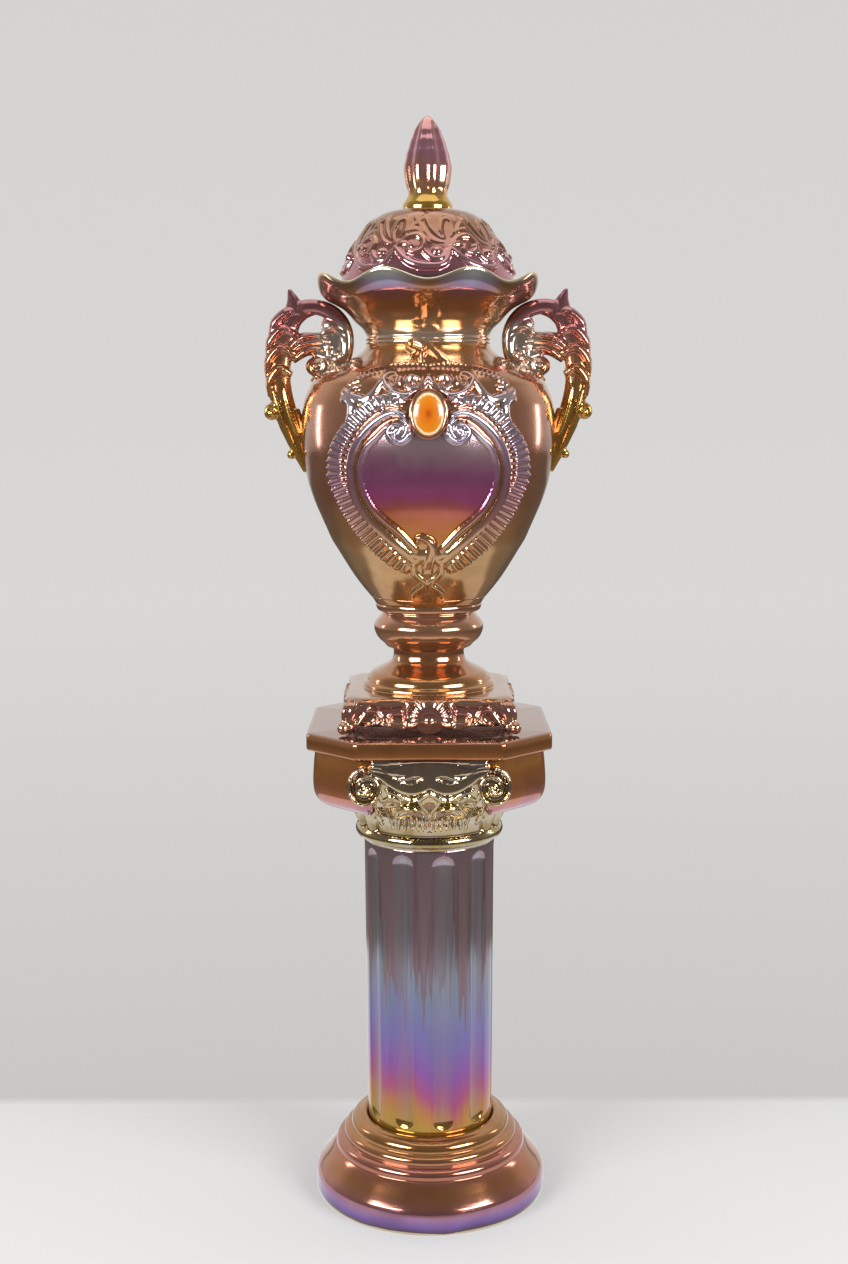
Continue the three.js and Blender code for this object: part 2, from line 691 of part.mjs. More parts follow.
  // Hollow under the foot and up the stem.
  const underFoot = skin(
    [
      [FOOT_HALF_WIDTH - 11, -PAST],
      [FOOT_HALF_WIDTH - 11, FOOT_HEIGHT - URN_WALL - 6],
      [FOOT_HALF_WIDTH - 26, FOOT_HEIGHT - URN_WALL + 2],
      [STEM_WAIST_RADIUS + 6, FOOT_HEIGHT + 12],
      [STEM_WAIST_RADIUS - URN_WALL - 1, 0.535 * STEM_TOP],
      [STEM_WAIST_RADIUS - URN_WALL, 0.62 * STEM_TOP],
      [STEM_KNOP_RADIUS - URN_WALL - 4, 0.732 * STEM_TOP],
      [STEM_KNOP_RADIUS - URN_WALL - 14, 0.901 * STEM_TOP],
    ].map(([radius, z]) => Array.from({ length: 16 }, (_, c) => polar((FULL_TURN * c) / 16, radius, z))),
  );
  return outside.subtract(cavity).subtract(mouth).subtract(underFoot).subtract(pocket);
}

// Y of the bezel's front edge: a set lift off the bulb at the cabochon's centre.
function cabochonFace() {
  return onBulb(0, CABOCHON_CENTRE, BEZEL_LIFT).y;
}

// Cabochon: an oval with a low dome, a little proud of its bezel.
function makeCabochon() {
  const face = cabochonFace();
  const back = face + BEZEL_LIFT - 2 - REST_GAP;
  const ring = (share, y) =>
    Array.from({ length: 16 }, (_, i) => {
      const angle = (FULL_TURN * i) / 16;
      const x = share * CABOCHON_HALF_WIDTH * Math.cos(angle);
      return new THREE.Vector3(x, y, CABOCHON_CENTRE + share * CABOCHON_HALF_HEIGHT * Math.sin(angle));
    });
  return skin([ring(1, back), ring(1, face + 1), ring(0.85, face - 1.5), ring(0.5, face - 3)]);
}

// Lid

function makeLid() {
  const seat = lidSeat + REST_GAP;
  const top = seat + LID_HEIGHT;
  const swagTurn = FULL_TURN / LID_SWAG_COUNT;
  const firstSwag = THREE.MathUtils.degToRad(-4.5);

  // Height of the scroll band's lower edge: swags that hang between cusps.
  function swagZ(angle) {
    const share = THREE.MathUtils.euclideanModulo((angle - firstSwag) / swagTurn + 0.5, 1) * 2 - 1;
    return seat + 48 + 19 * share * share;
  }
  const dome = smoothOutline(
    [
      [LID_RADIUS, 4],
      [LID_RADIUS - 3, 20],
      [LID_RADIUS - 9, 38],
      [LID_RADIUS - 23, 62],
      [LID_RADIUS - 36.5, 82],
      [LID_RADIUS - 52, LID_HEIGHT - 1],
    ].map(([radius, rise]) => [radius, seat + rise]),
    12,
  );
  const plainRow = (radius, z) => (angle) => polar(angle, radius, z);
  const bandRow = (rise, lift) => (angle) => {
    const z = swagZ(angle) + rise;
    return polar(angle, radiusAt(dome, z) + lift, z + 0.35 * lift);
  };
  // Flames that lean round the crown above the scrolls.
  const crownRow = (z, lift, lean) => (angle) =>
    polar(angle, radiusAt(dome, z) + lift * (1 + Math.cos(2 * LID_SWAG_COUNT * angle + lean)), z);
  const rows = [
    plainRow(LID_RADIUS - 7, seat),
    plainRow(LID_RADIUS - 1, seat),
    plainRow(LID_RADIUS, seat + 4),
    plainRow(LID_RADIUS - 5, seat + 26),
    bandRow(-2, 0),
    bandRow(1, LID_SWAG_LIFT),
    bandRow(6, LID_SWAG_LIFT - 1),
    bandRow(10, 1),
    crownRow(seat + 82, 1, 1),
    plainRow(LID_RADIUS - 50, top - 2),
    plainRow(FINIAL_RADIUS, top),
  ];
  const angles = Array.from({ length: 4 * LID_SWAG_COUNT }, (_, c) => firstSwag + (c * swagTurn) / 4);
  const shell = skin(rows.map((row) => angles.map(row)));

  // Finial: a collar and a bud with soft upright flutes.
  const bud = (share) => top + share * FINIAL_HEIGHT;
  const fluted = (angle, radius, z) =>
    polar(angle, radius * (1 - 0.035 * (1 + Math.cos(8 * angle)) * (z > bud(0.15) ? 1 : 0)), z);
  const finial = turned(
    plainOutline([
      [FINIAL_RADIUS - 2, top - 4],
      [FINIAL_RADIUS + 1, bud(0.05)],
      [FINIAL_RADIUS - 5, bud(0.16)],
      [FINIAL_RADIUS - 1.5, bud(0.3)],
      [FINIAL_RADIUS, bud(0.46)],
      [FINIAL_RADIUS - 4.5, bud(0.68)],
      [FINIAL_RADIUS - 12.5, bud(0.86)],
      [2, bud(1)],
    ]),
    16,
    fluted,
  );
  const flangeRadius = radiusAt(mouthOutline, seat - LID_FLANGE_DEPTH) - LID_FLANGE_FIT;
  const flange = turned(
    plainOutline([
      [flangeRadius, seat - LID_FLANGE_DEPTH],
      [flangeRadius, seat + LID_WALL],
    ]),
    16,
  );
  const hollow = turned(
    plainOutline([
      [flangeRadius - LID_WALL, seat - LID_FLANGE_DEPTH - PAST],
      [flangeRadius - LID_WALL, seat + LID_WALL],
      [LID_RADIUS - 1.3 * LID_WALL - 6, seat + LID_WALL + 12],
      [LID_RADIUS - 1.3 * LID_WALL - 12, seat + 44],
      [LID_RADIUS - 1.3 * LID_WALL - 30, seat + 68],
      [LID_RADIUS - 1.3 * LID_WALL - 50, top - LID_WALL - 4],
    ]),
    16,
  );
  return join([shell, finial, flange]).subtract(hollow);
}

// The whole work

const vessel = new THREE.Group();
vessel.add(toMesh("urn", makeUrn(), glazes.urn));
vessel.add(toMesh("front_cabochon", makeCabochon(), glazes.cabochon));
vessel.add(toMesh("lid", makeLid(), glazes.lid));

const column = makeColumn();
vessel.position.z = column.top + REST_GAP;

const group = new THREE.Group();
group.add(toMesh("base", makeBase(), glazes.base));
group.add(toMesh("column", column.solid, glazes.column));
group.add(vessel);

export default group;
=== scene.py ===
import math

import bpy
import numpy as np
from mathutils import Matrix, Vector


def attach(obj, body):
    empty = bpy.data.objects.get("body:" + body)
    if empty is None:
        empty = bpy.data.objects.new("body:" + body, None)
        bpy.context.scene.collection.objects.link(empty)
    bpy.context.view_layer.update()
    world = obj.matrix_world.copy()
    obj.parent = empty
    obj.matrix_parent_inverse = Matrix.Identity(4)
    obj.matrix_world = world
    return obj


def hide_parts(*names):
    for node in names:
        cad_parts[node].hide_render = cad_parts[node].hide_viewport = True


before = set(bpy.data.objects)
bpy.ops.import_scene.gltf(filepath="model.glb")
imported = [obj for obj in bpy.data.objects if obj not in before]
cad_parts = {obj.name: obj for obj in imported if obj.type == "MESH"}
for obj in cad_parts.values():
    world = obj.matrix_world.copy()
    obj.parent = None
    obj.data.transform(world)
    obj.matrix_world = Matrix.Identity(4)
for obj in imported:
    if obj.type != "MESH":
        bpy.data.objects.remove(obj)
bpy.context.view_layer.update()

# Studio: a pale sheet on the floor, two wide box lamps in front, a weak strip at each side, one lamp
# overhead and a pale room behind. The room is dark towards the camera, which the glaze shows as brown.
SHEET_REACH = 0.86
FLOOR_HALF = 6.0
FLOOR_LINE, FLOOR_BLUR = 0.225, 0.012
LAMP_TURN = math.radians(47)
LAMP_REACH = 1.75
LAMP_FOOT = 0.86
LAMP_SIZE = (1.02, 0.52)
LAMP_POWER, STRIP_POWER, CEILING_POWER = 35, 1.4, 9
AIM_HEIGHT = 0.95

scene = bpy.context.scene
scene.view_settings.view_transform = "Standard"
scene.view_settings.look = "None"


def link(piece):
    scene.collection.objects.link(piece)
    return piece


def fit(tree, node, *sockets):
    """Gives a node's sockets, as (place, value) pairs, each a value or a wire."""
    for place, value in sockets:
        if isinstance(value, bpy.types.Node):
            value = value.outputs[0]
        if isinstance(value, bpy.types.NodeSocket):
            tree.links.new(value, node.inputs[place])
        else:
            node.inputs[place].default_value = value
    return node


def wired(tree, kind, *sockets, **settings):
    """A new node with its properties set by name, and its sockets as in fit."""
    node = tree.nodes.new(kind)
    for name, value in settings.items():
        setattr(node, name, value)
    return fit(tree, node, *sockets)


def maths(tree, operation, *values):
    """One sum of numbers and sockets; its result's socket."""
    return wired(tree, "ShaderNodeMath", *enumerate(values), operation=operation).outputs[0]


def mixed(tree, share, first, second, blend="MIX"):
    """Two colours mixed by a share; the result's socket."""
    sockets = (0, share), (6, first), (7, second)
    return wired(tree, "ShaderNodeMix", *sockets, data_type="RGBA", blend_type=blend).outputs[2]


def ramp(tree, source, stops, easing="LINEAR"):
    """A colour ramp with its stops as (place, colour) pairs."""
    node = tree.nodes.new("ShaderNodeValToRGB")
    node.color_ramp.interpolation = easing
    while len(node.color_ramp.elements) < len(stops):
        node.color_ramp.elements.new(0.5)
    for element, (place, colour) in zip(node.color_ramp.elements, stops):
        element.position = place
        element.color = (*colour, 1) if len(colour) == 3 else colour
    tree.links.new(source, node.inputs["Fac"])
    return node.outputs["Color"]


def by_ray(tree, seen, shone, kind):
    """Ends a tree: what the camera sees directly, and what lights and mirrors in the glaze instead."""
    camera_ray = wired(tree, "ShaderNodeLightPath").outputs["Is Camera Ray"]
    wired(tree, kind, (0, wired(tree, "ShaderNodeMixShader", (0, camera_ray), (1, shone), (2, seen))))


def light_room():
    """The pale room behind for the camera, and a room that darkens towards the camera for the glaze."""
    world = bpy.data.worlds.new("studio room")
    world.use_nodes = True
    tree = world.node_tree
    tree.nodes.clear()
    way = wired(tree, "ShaderNodeTexCoord").outputs["Generated"]
    apart = wired(tree, "ShaderNodeSeparateXYZ", (0, way)).outputs
    towards = maths(tree, "MULTIPLY_ADD", apart["Y"], -0.5, 0.5)
    height = maths(tree, "MULTIPLY_ADD", apart["Z"], 0.5, 0.5)

    def grey(source, *places):
        return ramp(tree, source, [(place, (tone, tone * 0.985, tone * 0.965)) for place, tone in places])

    round_about = grey(towards, (0, 1.0), (0.27, 0.9), (0.4, 0.42), (0.62, 0.2), (0.84, 0.12), (1, 0.07))
    up_down = grey(height, (0, 0.12), (0.42, 0.25), (0.5, 0.8), (0.75, 0.8), (1, 1.0))
    wall = grey(height, (0.29, 0.57), (0.32, 0.6), (0.44, 0.694), (0.6, 0.665), (1, 0.62))
    room = mixed(tree, 1, round_about, up_down, "MULTIPLY")
    shone = wired(tree, "ShaderNodeBackground", ("Color", room), ("Strength", 1.0))
    seen = wired(tree, "ShaderNodeBackground", ("Color", wall), ("Strength", 1.0))
    by_ray(tree, seen, shone, "ShaderNodeOutputWorld")
    scene.world = world


light_room()


def lamp(name, place, aim, size, power, tint=(1, 1, 1)):
    """A flat rectangular lamp that faces the spot it is aimed at."""
    data = bpy.data.lights.new(name, "AREA")
    data.shape = "RECTANGLE"
    data.size, data.size_y = size
    data.energy = power
    data.color = tint
    made = link(bpy.data.objects.new(name, data))
    made.location = place
    made.rotation_euler = (Vector(aim) - Vector(place)).to_track_quat("-Z", "Y").to_euler()


for side, word in ((-1, "left"), (1, "right")):
    box_x, box_y = side * LAMP_REACH * math.sin(LAMP_TURN), -LAMP_REACH * math.cos(LAMP_TURN)
    box_z = LAMP_FOOT + LAMP_SIZE[1] / 2
    lamp("box lamp " + word, (box_x, box_y, box_z), (0, 0, AIM_HEIGHT), LAMP_SIZE, LAMP_POWER)
    strip_at, strip_tint = (side * 1.5, 0.62, AIM_HEIGHT), (0.86, 0.9, 1)
    lamp("side strip " + word, strip_at, (0, 0, 0.9), (0.16, 0.42), STRIP_POWER, strip_tint)
lamp("ceiling lamp", (0, -0.1, 2.5), (0, 0, 0.6), (1.6, 1.6), CEILING_POWER)


def lay_paper():
    """The floor: a pale top whose back edge shows as a soft line behind the base, and whose glow is dimmer
    close to the base as a painted shadow.
    """
    mesh = bpy.data.meshes.new("pale floor")
    corners = [(x * FLOOR_HALF, y * FLOOR_HALF, 0) for x, y in ((-1, -1), (1, -1), (1, 1), (-1, 1))]
    mesh.from_pydata(corners, [], [(0, 1, 2, 3)])
    paper = bpy.data.materials.new("pale paper")
    paper.use_nodes = True
    tree = paper.node_tree
    tree.nodes.clear()
    where = wired(tree, "ShaderNodeTexCoord").outputs["Object"]
    back = wired(tree, "ShaderNodeSeparateXYZ", (0, where)).outputs["Y"]
    length = wired(tree, "ShaderNodeVectorMath", (0, where), operation="LENGTH").outputs["Value"]
    start, end = FLOOR_LINE - FLOOR_BLUR, FLOOR_LINE + FLOOR_BLUR
    behind = wired(tree, "ShaderNodeMapRange", ("Value", back), ("From Min", start), ("From Max", end))
    reach = wired(tree, "ShaderNodeMapRange", ("Value", length), ("From Max", 2.0)).outputs[0]
    # Painted shadow: the floor's glow is dimmer close to the base than further out.
    painted_shadow_tones = [(0.13, (0.22, 0.22, 0.219)), (0.2, (0.245, 0.245, 0.243)), (0.6, (0.262, 0.262, 0.26))]
    pale, dim, dark = (0.85, 0.85, 0.84), (0.27, 0.23, 0.2), (0.1, 0.09, 0.08)
    sheet_tones = [(0, pale), (SHEET_REACH / 2 - 0.01, pale), (SHEET_REACH / 2 + 0.04, dim), (1, dark)]
    cloth = wired(tree, "ShaderNodeBsdfDiffuse", ("Color", (0.42, 0.42, 0.418, 1)))
    glow = wired(tree, "ShaderNodeEmission", ("Color", ramp(tree, length, painted_shadow_tones)), ("Strength", 1.0))
    lit = wired(tree, "ShaderNodeAddShader", (0, cloth), (1, glow))
    clear = wired(tree, "ShaderNodeBsdfTransparent")
    seen = wired(tree, "ShaderNodeMixShader", (0, behind), (1, lit), (2, clear))
    shone = wired(tree, "ShaderNodeEmission", ("Color", ramp(tree, reach, sheet_tones)), ("Strength", 1.0))
    by_ray(tree, seen, shone, "ShaderNodeOutputMaterial")
    mesh.materials.append(paper)
    floor = link(bpy.data.objects.new("pale floor", mesh))


lay_paper()

# Camera: at the photograph's angle, level with the bulb of the urn and looking slightly down.
LENS = 45.57
PITCH = math.radians(7.93)
ROLL = math.radians(0.18)
STAND = (-0.0047, -1.8366, 0.9278)

camera = link(bpy.data.objects.new("camera", bpy.data.cameras.new("camera")))
camera.data.lens = LENS
camera.data.sensor_width = 36
camera.data.clip_end = 50
camera.location = STAND
camera.rotation_euler = (math.pi / 2 - PITCH, ROLL, 0)
scene.camera = camera


# Base: a turned ring of cast and glazed clay, stepped in three rolls over a long ogee. The column
# stands in a shallow socket at its top, and it is open and hollow beneath.
def turned_rows(outline, turns):
    """Rings of points for an outline of (radius, height) pairs in millimetres, at the given angles."""
    outline = np.asarray(outline, float) / 1000
    around = np.stack([np.sin(turns), -np.cos(turns), np.zeros_like(turns)], 1)
    rows = outline[:, None, :1] * around[None]
    rows[:, :, 2] = outline[:, 1:2]
    return rows


def even_turns(count):
    return np.linspace(0, 2 * np.pi, count, endpoint=False)


def grid_piece(name, rows, closed=False):
    """A mesh over rings of points. Rings join up round the outline, or else both ends are capped."""
    count, columns = rows.shape[:2]
    ids = np.arange(count * columns).reshape(count, columns)
    right = np.roll(ids, -1, 1)
    if closed:
        low, low_right, high, high_right = ids, right, np.roll(ids, -1, 0), np.roll(right, -1, 0)
    else:
        low, low_right, high, high_right = ids[:-1], right[:-1], ids[1:], right[1:]
    faces = np.stack([low, low_right, high_right, high], -1).reshape(-1, 4).tolist()
    points = rows.reshape(-1, 3).tolist()
    if not closed:
        points += [rows[0].mean(0).tolist(), rows[-1].mean(0).tolist()]
        foot, head = len(points) - 2, len(points) - 1
        faces += [[foot, int(b), int(a)] for a, b in zip(ids[0], right[0])]
        faces += [[head, int(a), int(b)] for a, b in zip(ids[-1], right[-1])]
    mesh = bpy.data.meshes.new(name)
    mesh.from_pydata(points, [], faces)
    mesh.shade_smooth()
    return link(bpy.data.objects.new(name, mesh))


def bent(start, corner, end, steps):
    """Points of a short curve that rounds a corner."""
    return [
        (1 - t) ** 2 * start + 2 * t * (1 - t) * corner + t * t * end
        for t in np.linspace(0, 1, steps + 1)
    ]


def rounded(corners, pull=0.5, steps=4):
    """An outline whose corners are each drawn round by a short curve."""
    corners = np.asarray(corners, float)
    made = [corners[0]]
    for before, corner, after in zip(corners, corners[1:], corners[2:]):
        start = corner + (before - corner) * pull * 0.5
        end = corner + (after - corner) * pull * 0.5
        made += bent(start, corner, end, steps)
    made.append(corners[-1])
    return np.array(made)


def evenly(line, count, endpoint=True):
    """Points at even steps along a line."""
    run = np.concatenate([[0], np.cumsum(np.linalg.norm(np.diff(line, axis=0), axis=1))])
    at = np.linspace(0, run[-1], count, endpoint=endpoint)
    return np.stack([np.interp(at, run, line[:, k]) for k in range(line.shape[1])], 1)


def smoothed(points, count):
    """A smooth line through points, at even steps."""
    points = np.asarray(points, float)
    padded = np.vstack([2 * points[0] - points[1], points, 2 * points[-1] - points[-2]])
    t = np.linspace(0, 1, 24, endpoint=False)[:, None]
    made = []
    for a, b, c, d in zip(padded, padded[1:], padded[2:], padded[3:]):
        bow, twist = 2 * a - 5 * b + 4 * c - d, 3 * b - a - 3 * c + d
        made.append(0.5 * (2 * b + (c - a) * t + bow * t**2 + twist * t**3))
    return evenly(np.vstack([*made, points[-1:]]), count)


def bulge(start, end, swell, steps=8):
    """Points of a rounded roll between two points, standing out by swell."""
    start, end = np.asarray(start, float), np.asarray(end, float)
    way = end - start
    out = np.array([way[1], -way[0]]) / np.hypot(*way)
    t = np.linspace(0, 1, steps + 1)[:, None]
    return start + way * t + out * swell * np.sin(np.pi * t) ** 0.75


def lustre_group():
    """Shared effect: an uneven, drifting height and a mask of fine pits, both in the piece's own space."""
    tree = bpy.data.node_groups.new("lustre drift", "ShaderNodeTree")
    ask = tree.interface.new_socket
    for name, value in (("Low", 0.0), ("High", 1.0), ("Drift", 0.02), ("Grain", 14.0), ("Stretch", 1.0)):
        ask(name, in_out="INPUT", socket_type="NodeSocketFloat").default_value = value
    for name in ("Height", "Cloud", "Pits"):
        ask(name, in_out="OUTPUT", socket_type="NodeSocketFloat")
    given = wired(tree, "NodeGroupInput").outputs
    where = wired(tree, "ShaderNodeTexCoord").outputs["Object"]
    height = wired(tree, "ShaderNodeSeparateXYZ", (0, where)).outputs["Z"]
    squeeze = wired(tree, "ShaderNodeCombineXYZ", ("X", 1.0), ("Y", 1.0), ("Z", given["Stretch"]))
    stretched = wired(tree, "ShaderNodeVectorMath", (0, where), (1, squeeze), operation="MULTIPLY")
    cloud = wired(
        tree, "ShaderNodeTexNoise", ("Vector", stretched), ("Scale", given["Grain"]), ("Detail", 3.0),
        ("Roughness", 0.55)
    )
    pits = wired(tree, "ShaderNodeTexNoise", ("Vector", where), ("Scale", 900.0), ("Detail", 1.0))
    shift = maths(tree, "MULTIPLY_ADD", maths(tree, "SUBTRACT", cloud, 0.5), given["Drift"], height)
    span = wired(
        tree, "ShaderNodeMapRange", ("Value", shift), ("From Min", given["Low"]), ("From Max", given["High"])
    )
    wired(tree, "NodeGroupOutput", ("Height", span), ("Cloud", cloud), ("Pits", pits))
    return tree


LUSTRE_DRIFT = lustre_group()
COAT, COAT_ROUGH = 0.5, 0.03
VEIL = [(0.3, (0.8, 0.74, 0.68)), (0.5, (1, 0.98, 0.94)), (0.7, (0.94, 0.84, 0.8))]


def drifting(tree, low, high, drift, grain, stretch):
    """The outputs of the shared effect for one glaze."""
    values = ("Low", low), ("High", high), ("Drift", drift), ("Grain", grain), ("Stretch", stretch)
    return wired(tree, "ShaderNodeGroup", *values, node_tree=LUSTRE_DRIFT).outputs


def glaze(
    name, low, high, bands, drift=0.02, grain=14.0, stretch=1.0, metal=0.86, rough=0.13, layers=()
):
    """A lustre glaze: colours in bands by height, drifting unevenly, with painted layers over them.
    Each layer is (attribute, colour bands, strength)."""
    material = bpy.data.materials.new(name)
    material.use_nodes = True
    tree = material.node_tree
    drifted = drifting(tree, low, high, drift, grain, stretch)
    colour = ramp(tree, drifted["Height"], bands)
    for attribute, layer_bands, strength in layers:
        mask = wired(tree, "ShaderNodeAttribute", attribute_name=attribute).outputs["Fac"]
        layer = ramp(tree, drifted["Height"], layer_bands)
        colour = mixed(tree, maths(tree, "MULTIPLY", mask, strength), colour, layer)
    bump = wired(
        tree, "ShaderNodeBump", ("Height", drifted["Pits"]), ("Strength", 0.04), ("Distance", 0.001)
    )
    fit(
        tree,
        tree.nodes["Principled BSDF"],
        ("Base Color", mixed(tree, 1, colour, ramp(tree, drifted["Cloud"], VEIL), "MULTIPLY")),
        ("Roughness", rough),
        ("Metallic", metal),
        ("Coat Weight", COAT),
        ("Coat Roughness", COAT_ROUGH),
        ("Normal", bump),
    )
    return material


def set_piece(piece, node, material):
    """Gives a finished piece its glaze and its place in the frame."""
    piece.data.materials.clear()
    piece.data.materials.append(material)
    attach(piece, "root")
    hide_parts(node)
    return piece


def mark(piece, name, values):
    """Stores one painted value for each point of a piece, and 0 past the last value."""
    given = np.ravel(values)
    painted = np.zeros(len(piece.data.vertices), np.float32)
    painted[: len(given)] = given
    piece.data.attributes.new(name, "FLOAT", "POINT").data.foreach_set("value", painted)


base_profile = np.vstack(
    [
        rounded(
            [
                (129.5, 0), (135.8, 0), (137, 6), (137, 15), (136.8, 20.5), (135.8, 24.8), (134, 28.4),
                (131.2, 32), (127.4, 36.6)
            ],
            0.3
        ),
        smoothed([(125.4, 38.9), (121, 44.2), (116.6, 49.4), (113.6, 52.4)], 10),
        bulge((112.6, 53.2), (103.4, 64.6), 3.8, 14),
        bulge((102.6, 65.2), (95.4, 76.2), 3.6, 14),
        bulge((94.8, 77), (84.4, 89.2), 3.4, 14),
        rounded([(83, 90.2), (80.5, 91), (77.5, 91), (75.5, 89.5), (75.5, 82), (50, 82), (50, 74)], 0.4),
        rounded([(50, 74), (73, 72), (109, 44), (126, 20), (127.5, 0)], 0.5)[1:],
    ]
)
base = grid_piece("base_ring", turned_rows(base_profile, even_turns(180)), closed=True)
base_glaze = glaze(
    "copper and violet glaze",
    0.0,
    0.092,
    [
        (0.0, (0.7, 0.64, 0.52)), (0.025, (0.62, 0.52, 0.4)), (0.035, (0.08, 0.04, 0.05)),
        (0.06, (0.14, 0.08, 0.22)), (0.12, (0.22, 0.13, 0.42)), (0.2, (0.36, 0.19, 0.38)),
        (0.3, (0.44, 0.19, 0.16)), (0.45, (0.42, 0.18, 0.07)), (0.65, (0.46, 0.18, 0.14)),
        (0.84, (0.46, 0.22, 0.08)), (1.0, (0.44, 0.22, 0.08)),
    ],
    drift=0.006,
)
set_piece(base, "base", base_glaze)

# Shaft of the column: a cast tube with ten shallow, round-ended flutes, in one with the bell, the slab and
# the capital. Brown glaze has run down its upper half in long drips, over lavender, magenta and gold.
SHAFT_FOOT, SHAFT_HEAD = 82.3, 432.0
SHAFT_RADIUS, SHAFT_SPREAD, SHAFT_BORE = 74.3, 2.0, 62
FLUTES, FLUTE_TURN = 10, math.radians(12)
FLUTE_HALF, FLUTE_DEEP = 12.5, 4.3
FLUTE_LOW, FLUTE_HIGH = 97.0, 424.0
WALL_INSIDE = 68.0


def plain_shaft():
    """The shaft before its flutes are pressed: a tube, a little wider at the head."""
    heights = np.concatenate(
        [
            [SHAFT_FOOT, SHAFT_FOOT + 0.8],
            np.linspace(SHAFT_FOOT + 2, FLUTE_LOW - 3, 6),
            np.linspace(FLUTE_LOW - 1, FLUTE_LOW + 24, 22),
            np.linspace(FLUTE_LOW + 32, FLUTE_HIGH - 32, 60),
            np.linspace(FLUTE_HIGH - 24, FLUTE_HIGH + 1, 22),
            [FLUTE_HIGH + 4, SHAFT_HEAD + 2],
        ]
    )
    outline = [
        (SHAFT_RADIUS + SHAFT_SPREAD * (z - SHAFT_FOOT) / (SHAFT_HEAD - SHAFT_FOOT), z)
        for z in heights
    ]
    outline[0] = (73.5, SHAFT_FOOT)
    bore = [(SHAFT_BORE, 431), (SHAFT_BORE, 84), (SHAFT_BORE + 1, SHAFT_FOOT)]
    return turned_rows(outline + bore, even_turns(360))


def flute_tree(material):
    """Presses evenly spaced round-ended flutes into an upright shaft and stores how deep each spot lies."""
    tree = bpy.data.node_groups.new("flutes", "GeometryNodeTree")
    ask = tree.interface.new_socket
    ask("Geometry", in_out="INPUT", socket_type="NodeSocketGeometry")
    for name, value in (
        ("Flutes", FLUTES),
        ("First turn", FLUTE_TURN),
        ("Half width", FLUTE_HALF / 1000),
        ("Depth", FLUTE_DEEP / 1000),
        ("Low end", FLUTE_LOW / 1000),
        ("High end", FLUTE_HIGH / 1000),
        ("Wall inside", WALL_INSIDE / 1000),
    ):
        ask(name, in_out="INPUT", socket_type="NodeSocketFloat").default_value = value
    ask("Geometry", in_out="OUTPUT", socket_type="NodeSocketGeometry")

    def calc(operation, *values):
        return maths(tree, operation, *values)

    given = wired(tree, "NodeGroupInput").outputs
    half, low, high = given["Half width"], given["Low end"], given["High end"]
    x, y, z = wired(tree, "ShaderNodeSeparateXYZ", (0, wired(tree, "GeometryNodeInputPosition"))).outputs
    radius = calc("SQRT", calc("MULTIPLY_ADD", x, x, calc("MULTIPLY", y, y)))
    turn = calc("ARCTAN2", x, calc("MULTIPLY", y, -1.0))
    pitch = calc("DIVIDE", 2 * math.pi, given["Flutes"])
    from_first = calc("MULTIPLY_ADD", pitch, 0.5, calc("SUBTRACT", turn, given["First turn"]))
    off = calc("SUBTRACT", calc("FLOORED_MODULO", from_first, pitch), calc("MULTIPLY", pitch, 0.5))
    aside = calc("MULTIPLY", off, radius)
    under = calc("SUBTRACT", calc("ADD", low, half), z)
    over = calc("SUBTRACT", z, calc("SUBTRACT", high, half))
    past = calc("MAXIMUM", calc("MAXIMUM", under, over), 0.0)
    away = calc("SQRT", calc("MULTIPLY_ADD", aside, aside, calc("MULTIPLY", past, past)))
    reach = calc("DIVIDE", away, half)
    hollow = calc("MAXIMUM", calc("SUBTRACT", 1.0, calc("MULTIPLY", reach, reach)), 0.0)
    share = calc("MULTIPLY", calc("POWER", hollow, 0.62), calc("GREATER_THAN", radius, given["Wall inside"]))
    inward = calc("DIVIDE", calc("MULTIPLY", share, given["Depth"]), calc("MULTIPLY", radius, -1.0))
    in_x, in_y = calc("MULTIPLY", x, inward), calc("MULTIPLY", y, inward)
    step = wired(tree, "ShaderNodeCombineXYZ", ("X", in_x), ("Y", in_y))
    stored = ("Geometry", given["Geometry"]), ("Name", "flute"), ("Value", share)
    keep = wired(tree, "GeometryNodeStoreNamedAttribute", *stored, data_type="FLOAT", domain="POINT")
    press = wired(tree, "GeometryNodeSetPosition", ("Geometry", keep), ("Offset", step))
    real = wired(tree, "GeometryNodeRealizeInstances", (0, press))
    coat = wired(tree, "GeometryNodeSetMaterial", ("Geometry", real), ("Material", material))
    wired(tree, "NodeGroupOutput", (0, coat))
    return tree


def shaped(piece, tree):
    """The piece's mesh as its Geometry Nodes tree leaves it, in place of the plain one."""
    worker = piece.modifiers.new("shape", "NODES")
    worker.node_group = tree
    seen = bpy.context.evaluated_depsgraph_get()
    made = bpy.data.meshes.new_from_object(piece.evaluated_get(seen))
    piece.modifiers.remove(worker)
    made.name = piece.name
    piece.data = made


def brown_runs(material):
    """Brown glaze over the upper half of the shaft, which has run down in long ragged drips."""
    tree = material.node_tree
    skin = tree.nodes["Principled BSDF"]
    under = skin.inputs["Base Color"].links[0].from_socket
    drips = drifting(tree, 0.082, 0.432, 0.4, 130.0, 0.03)["Height"]
    flute = wired(tree, "ShaderNodeAttribute", attribute_name="flute").outputs["Fac"]
    edge = ramp(
        tree, drips, [(0.555, (0, 0, 0)), (0.565, (1, 1, 1)), (0.75, (0.9, 0.9, 0.9)), (1, (0.8, 0.8, 0.8))]
    )
    thin = ramp(
        tree, flute,
        [(0.0, (1, 1, 1)), (0.45, (0.95, 0.95, 0.95)), (0.75, (0.4, 0.4, 0.4)), (1.0, (0.6, 0.6, 0.6))]
    )
    brown = ramp(
        tree, drips, [(0.5, (0.19, 0.12, 0.145)), (0.65, (0.24, 0.16, 0.19)), (0.85, (0.36, 0.23, 0.26))]
    )
    fit(tree, skin, ("Base Color", mixed(tree, maths(tree, "MULTIPLY", edge, thin), under, brown)))


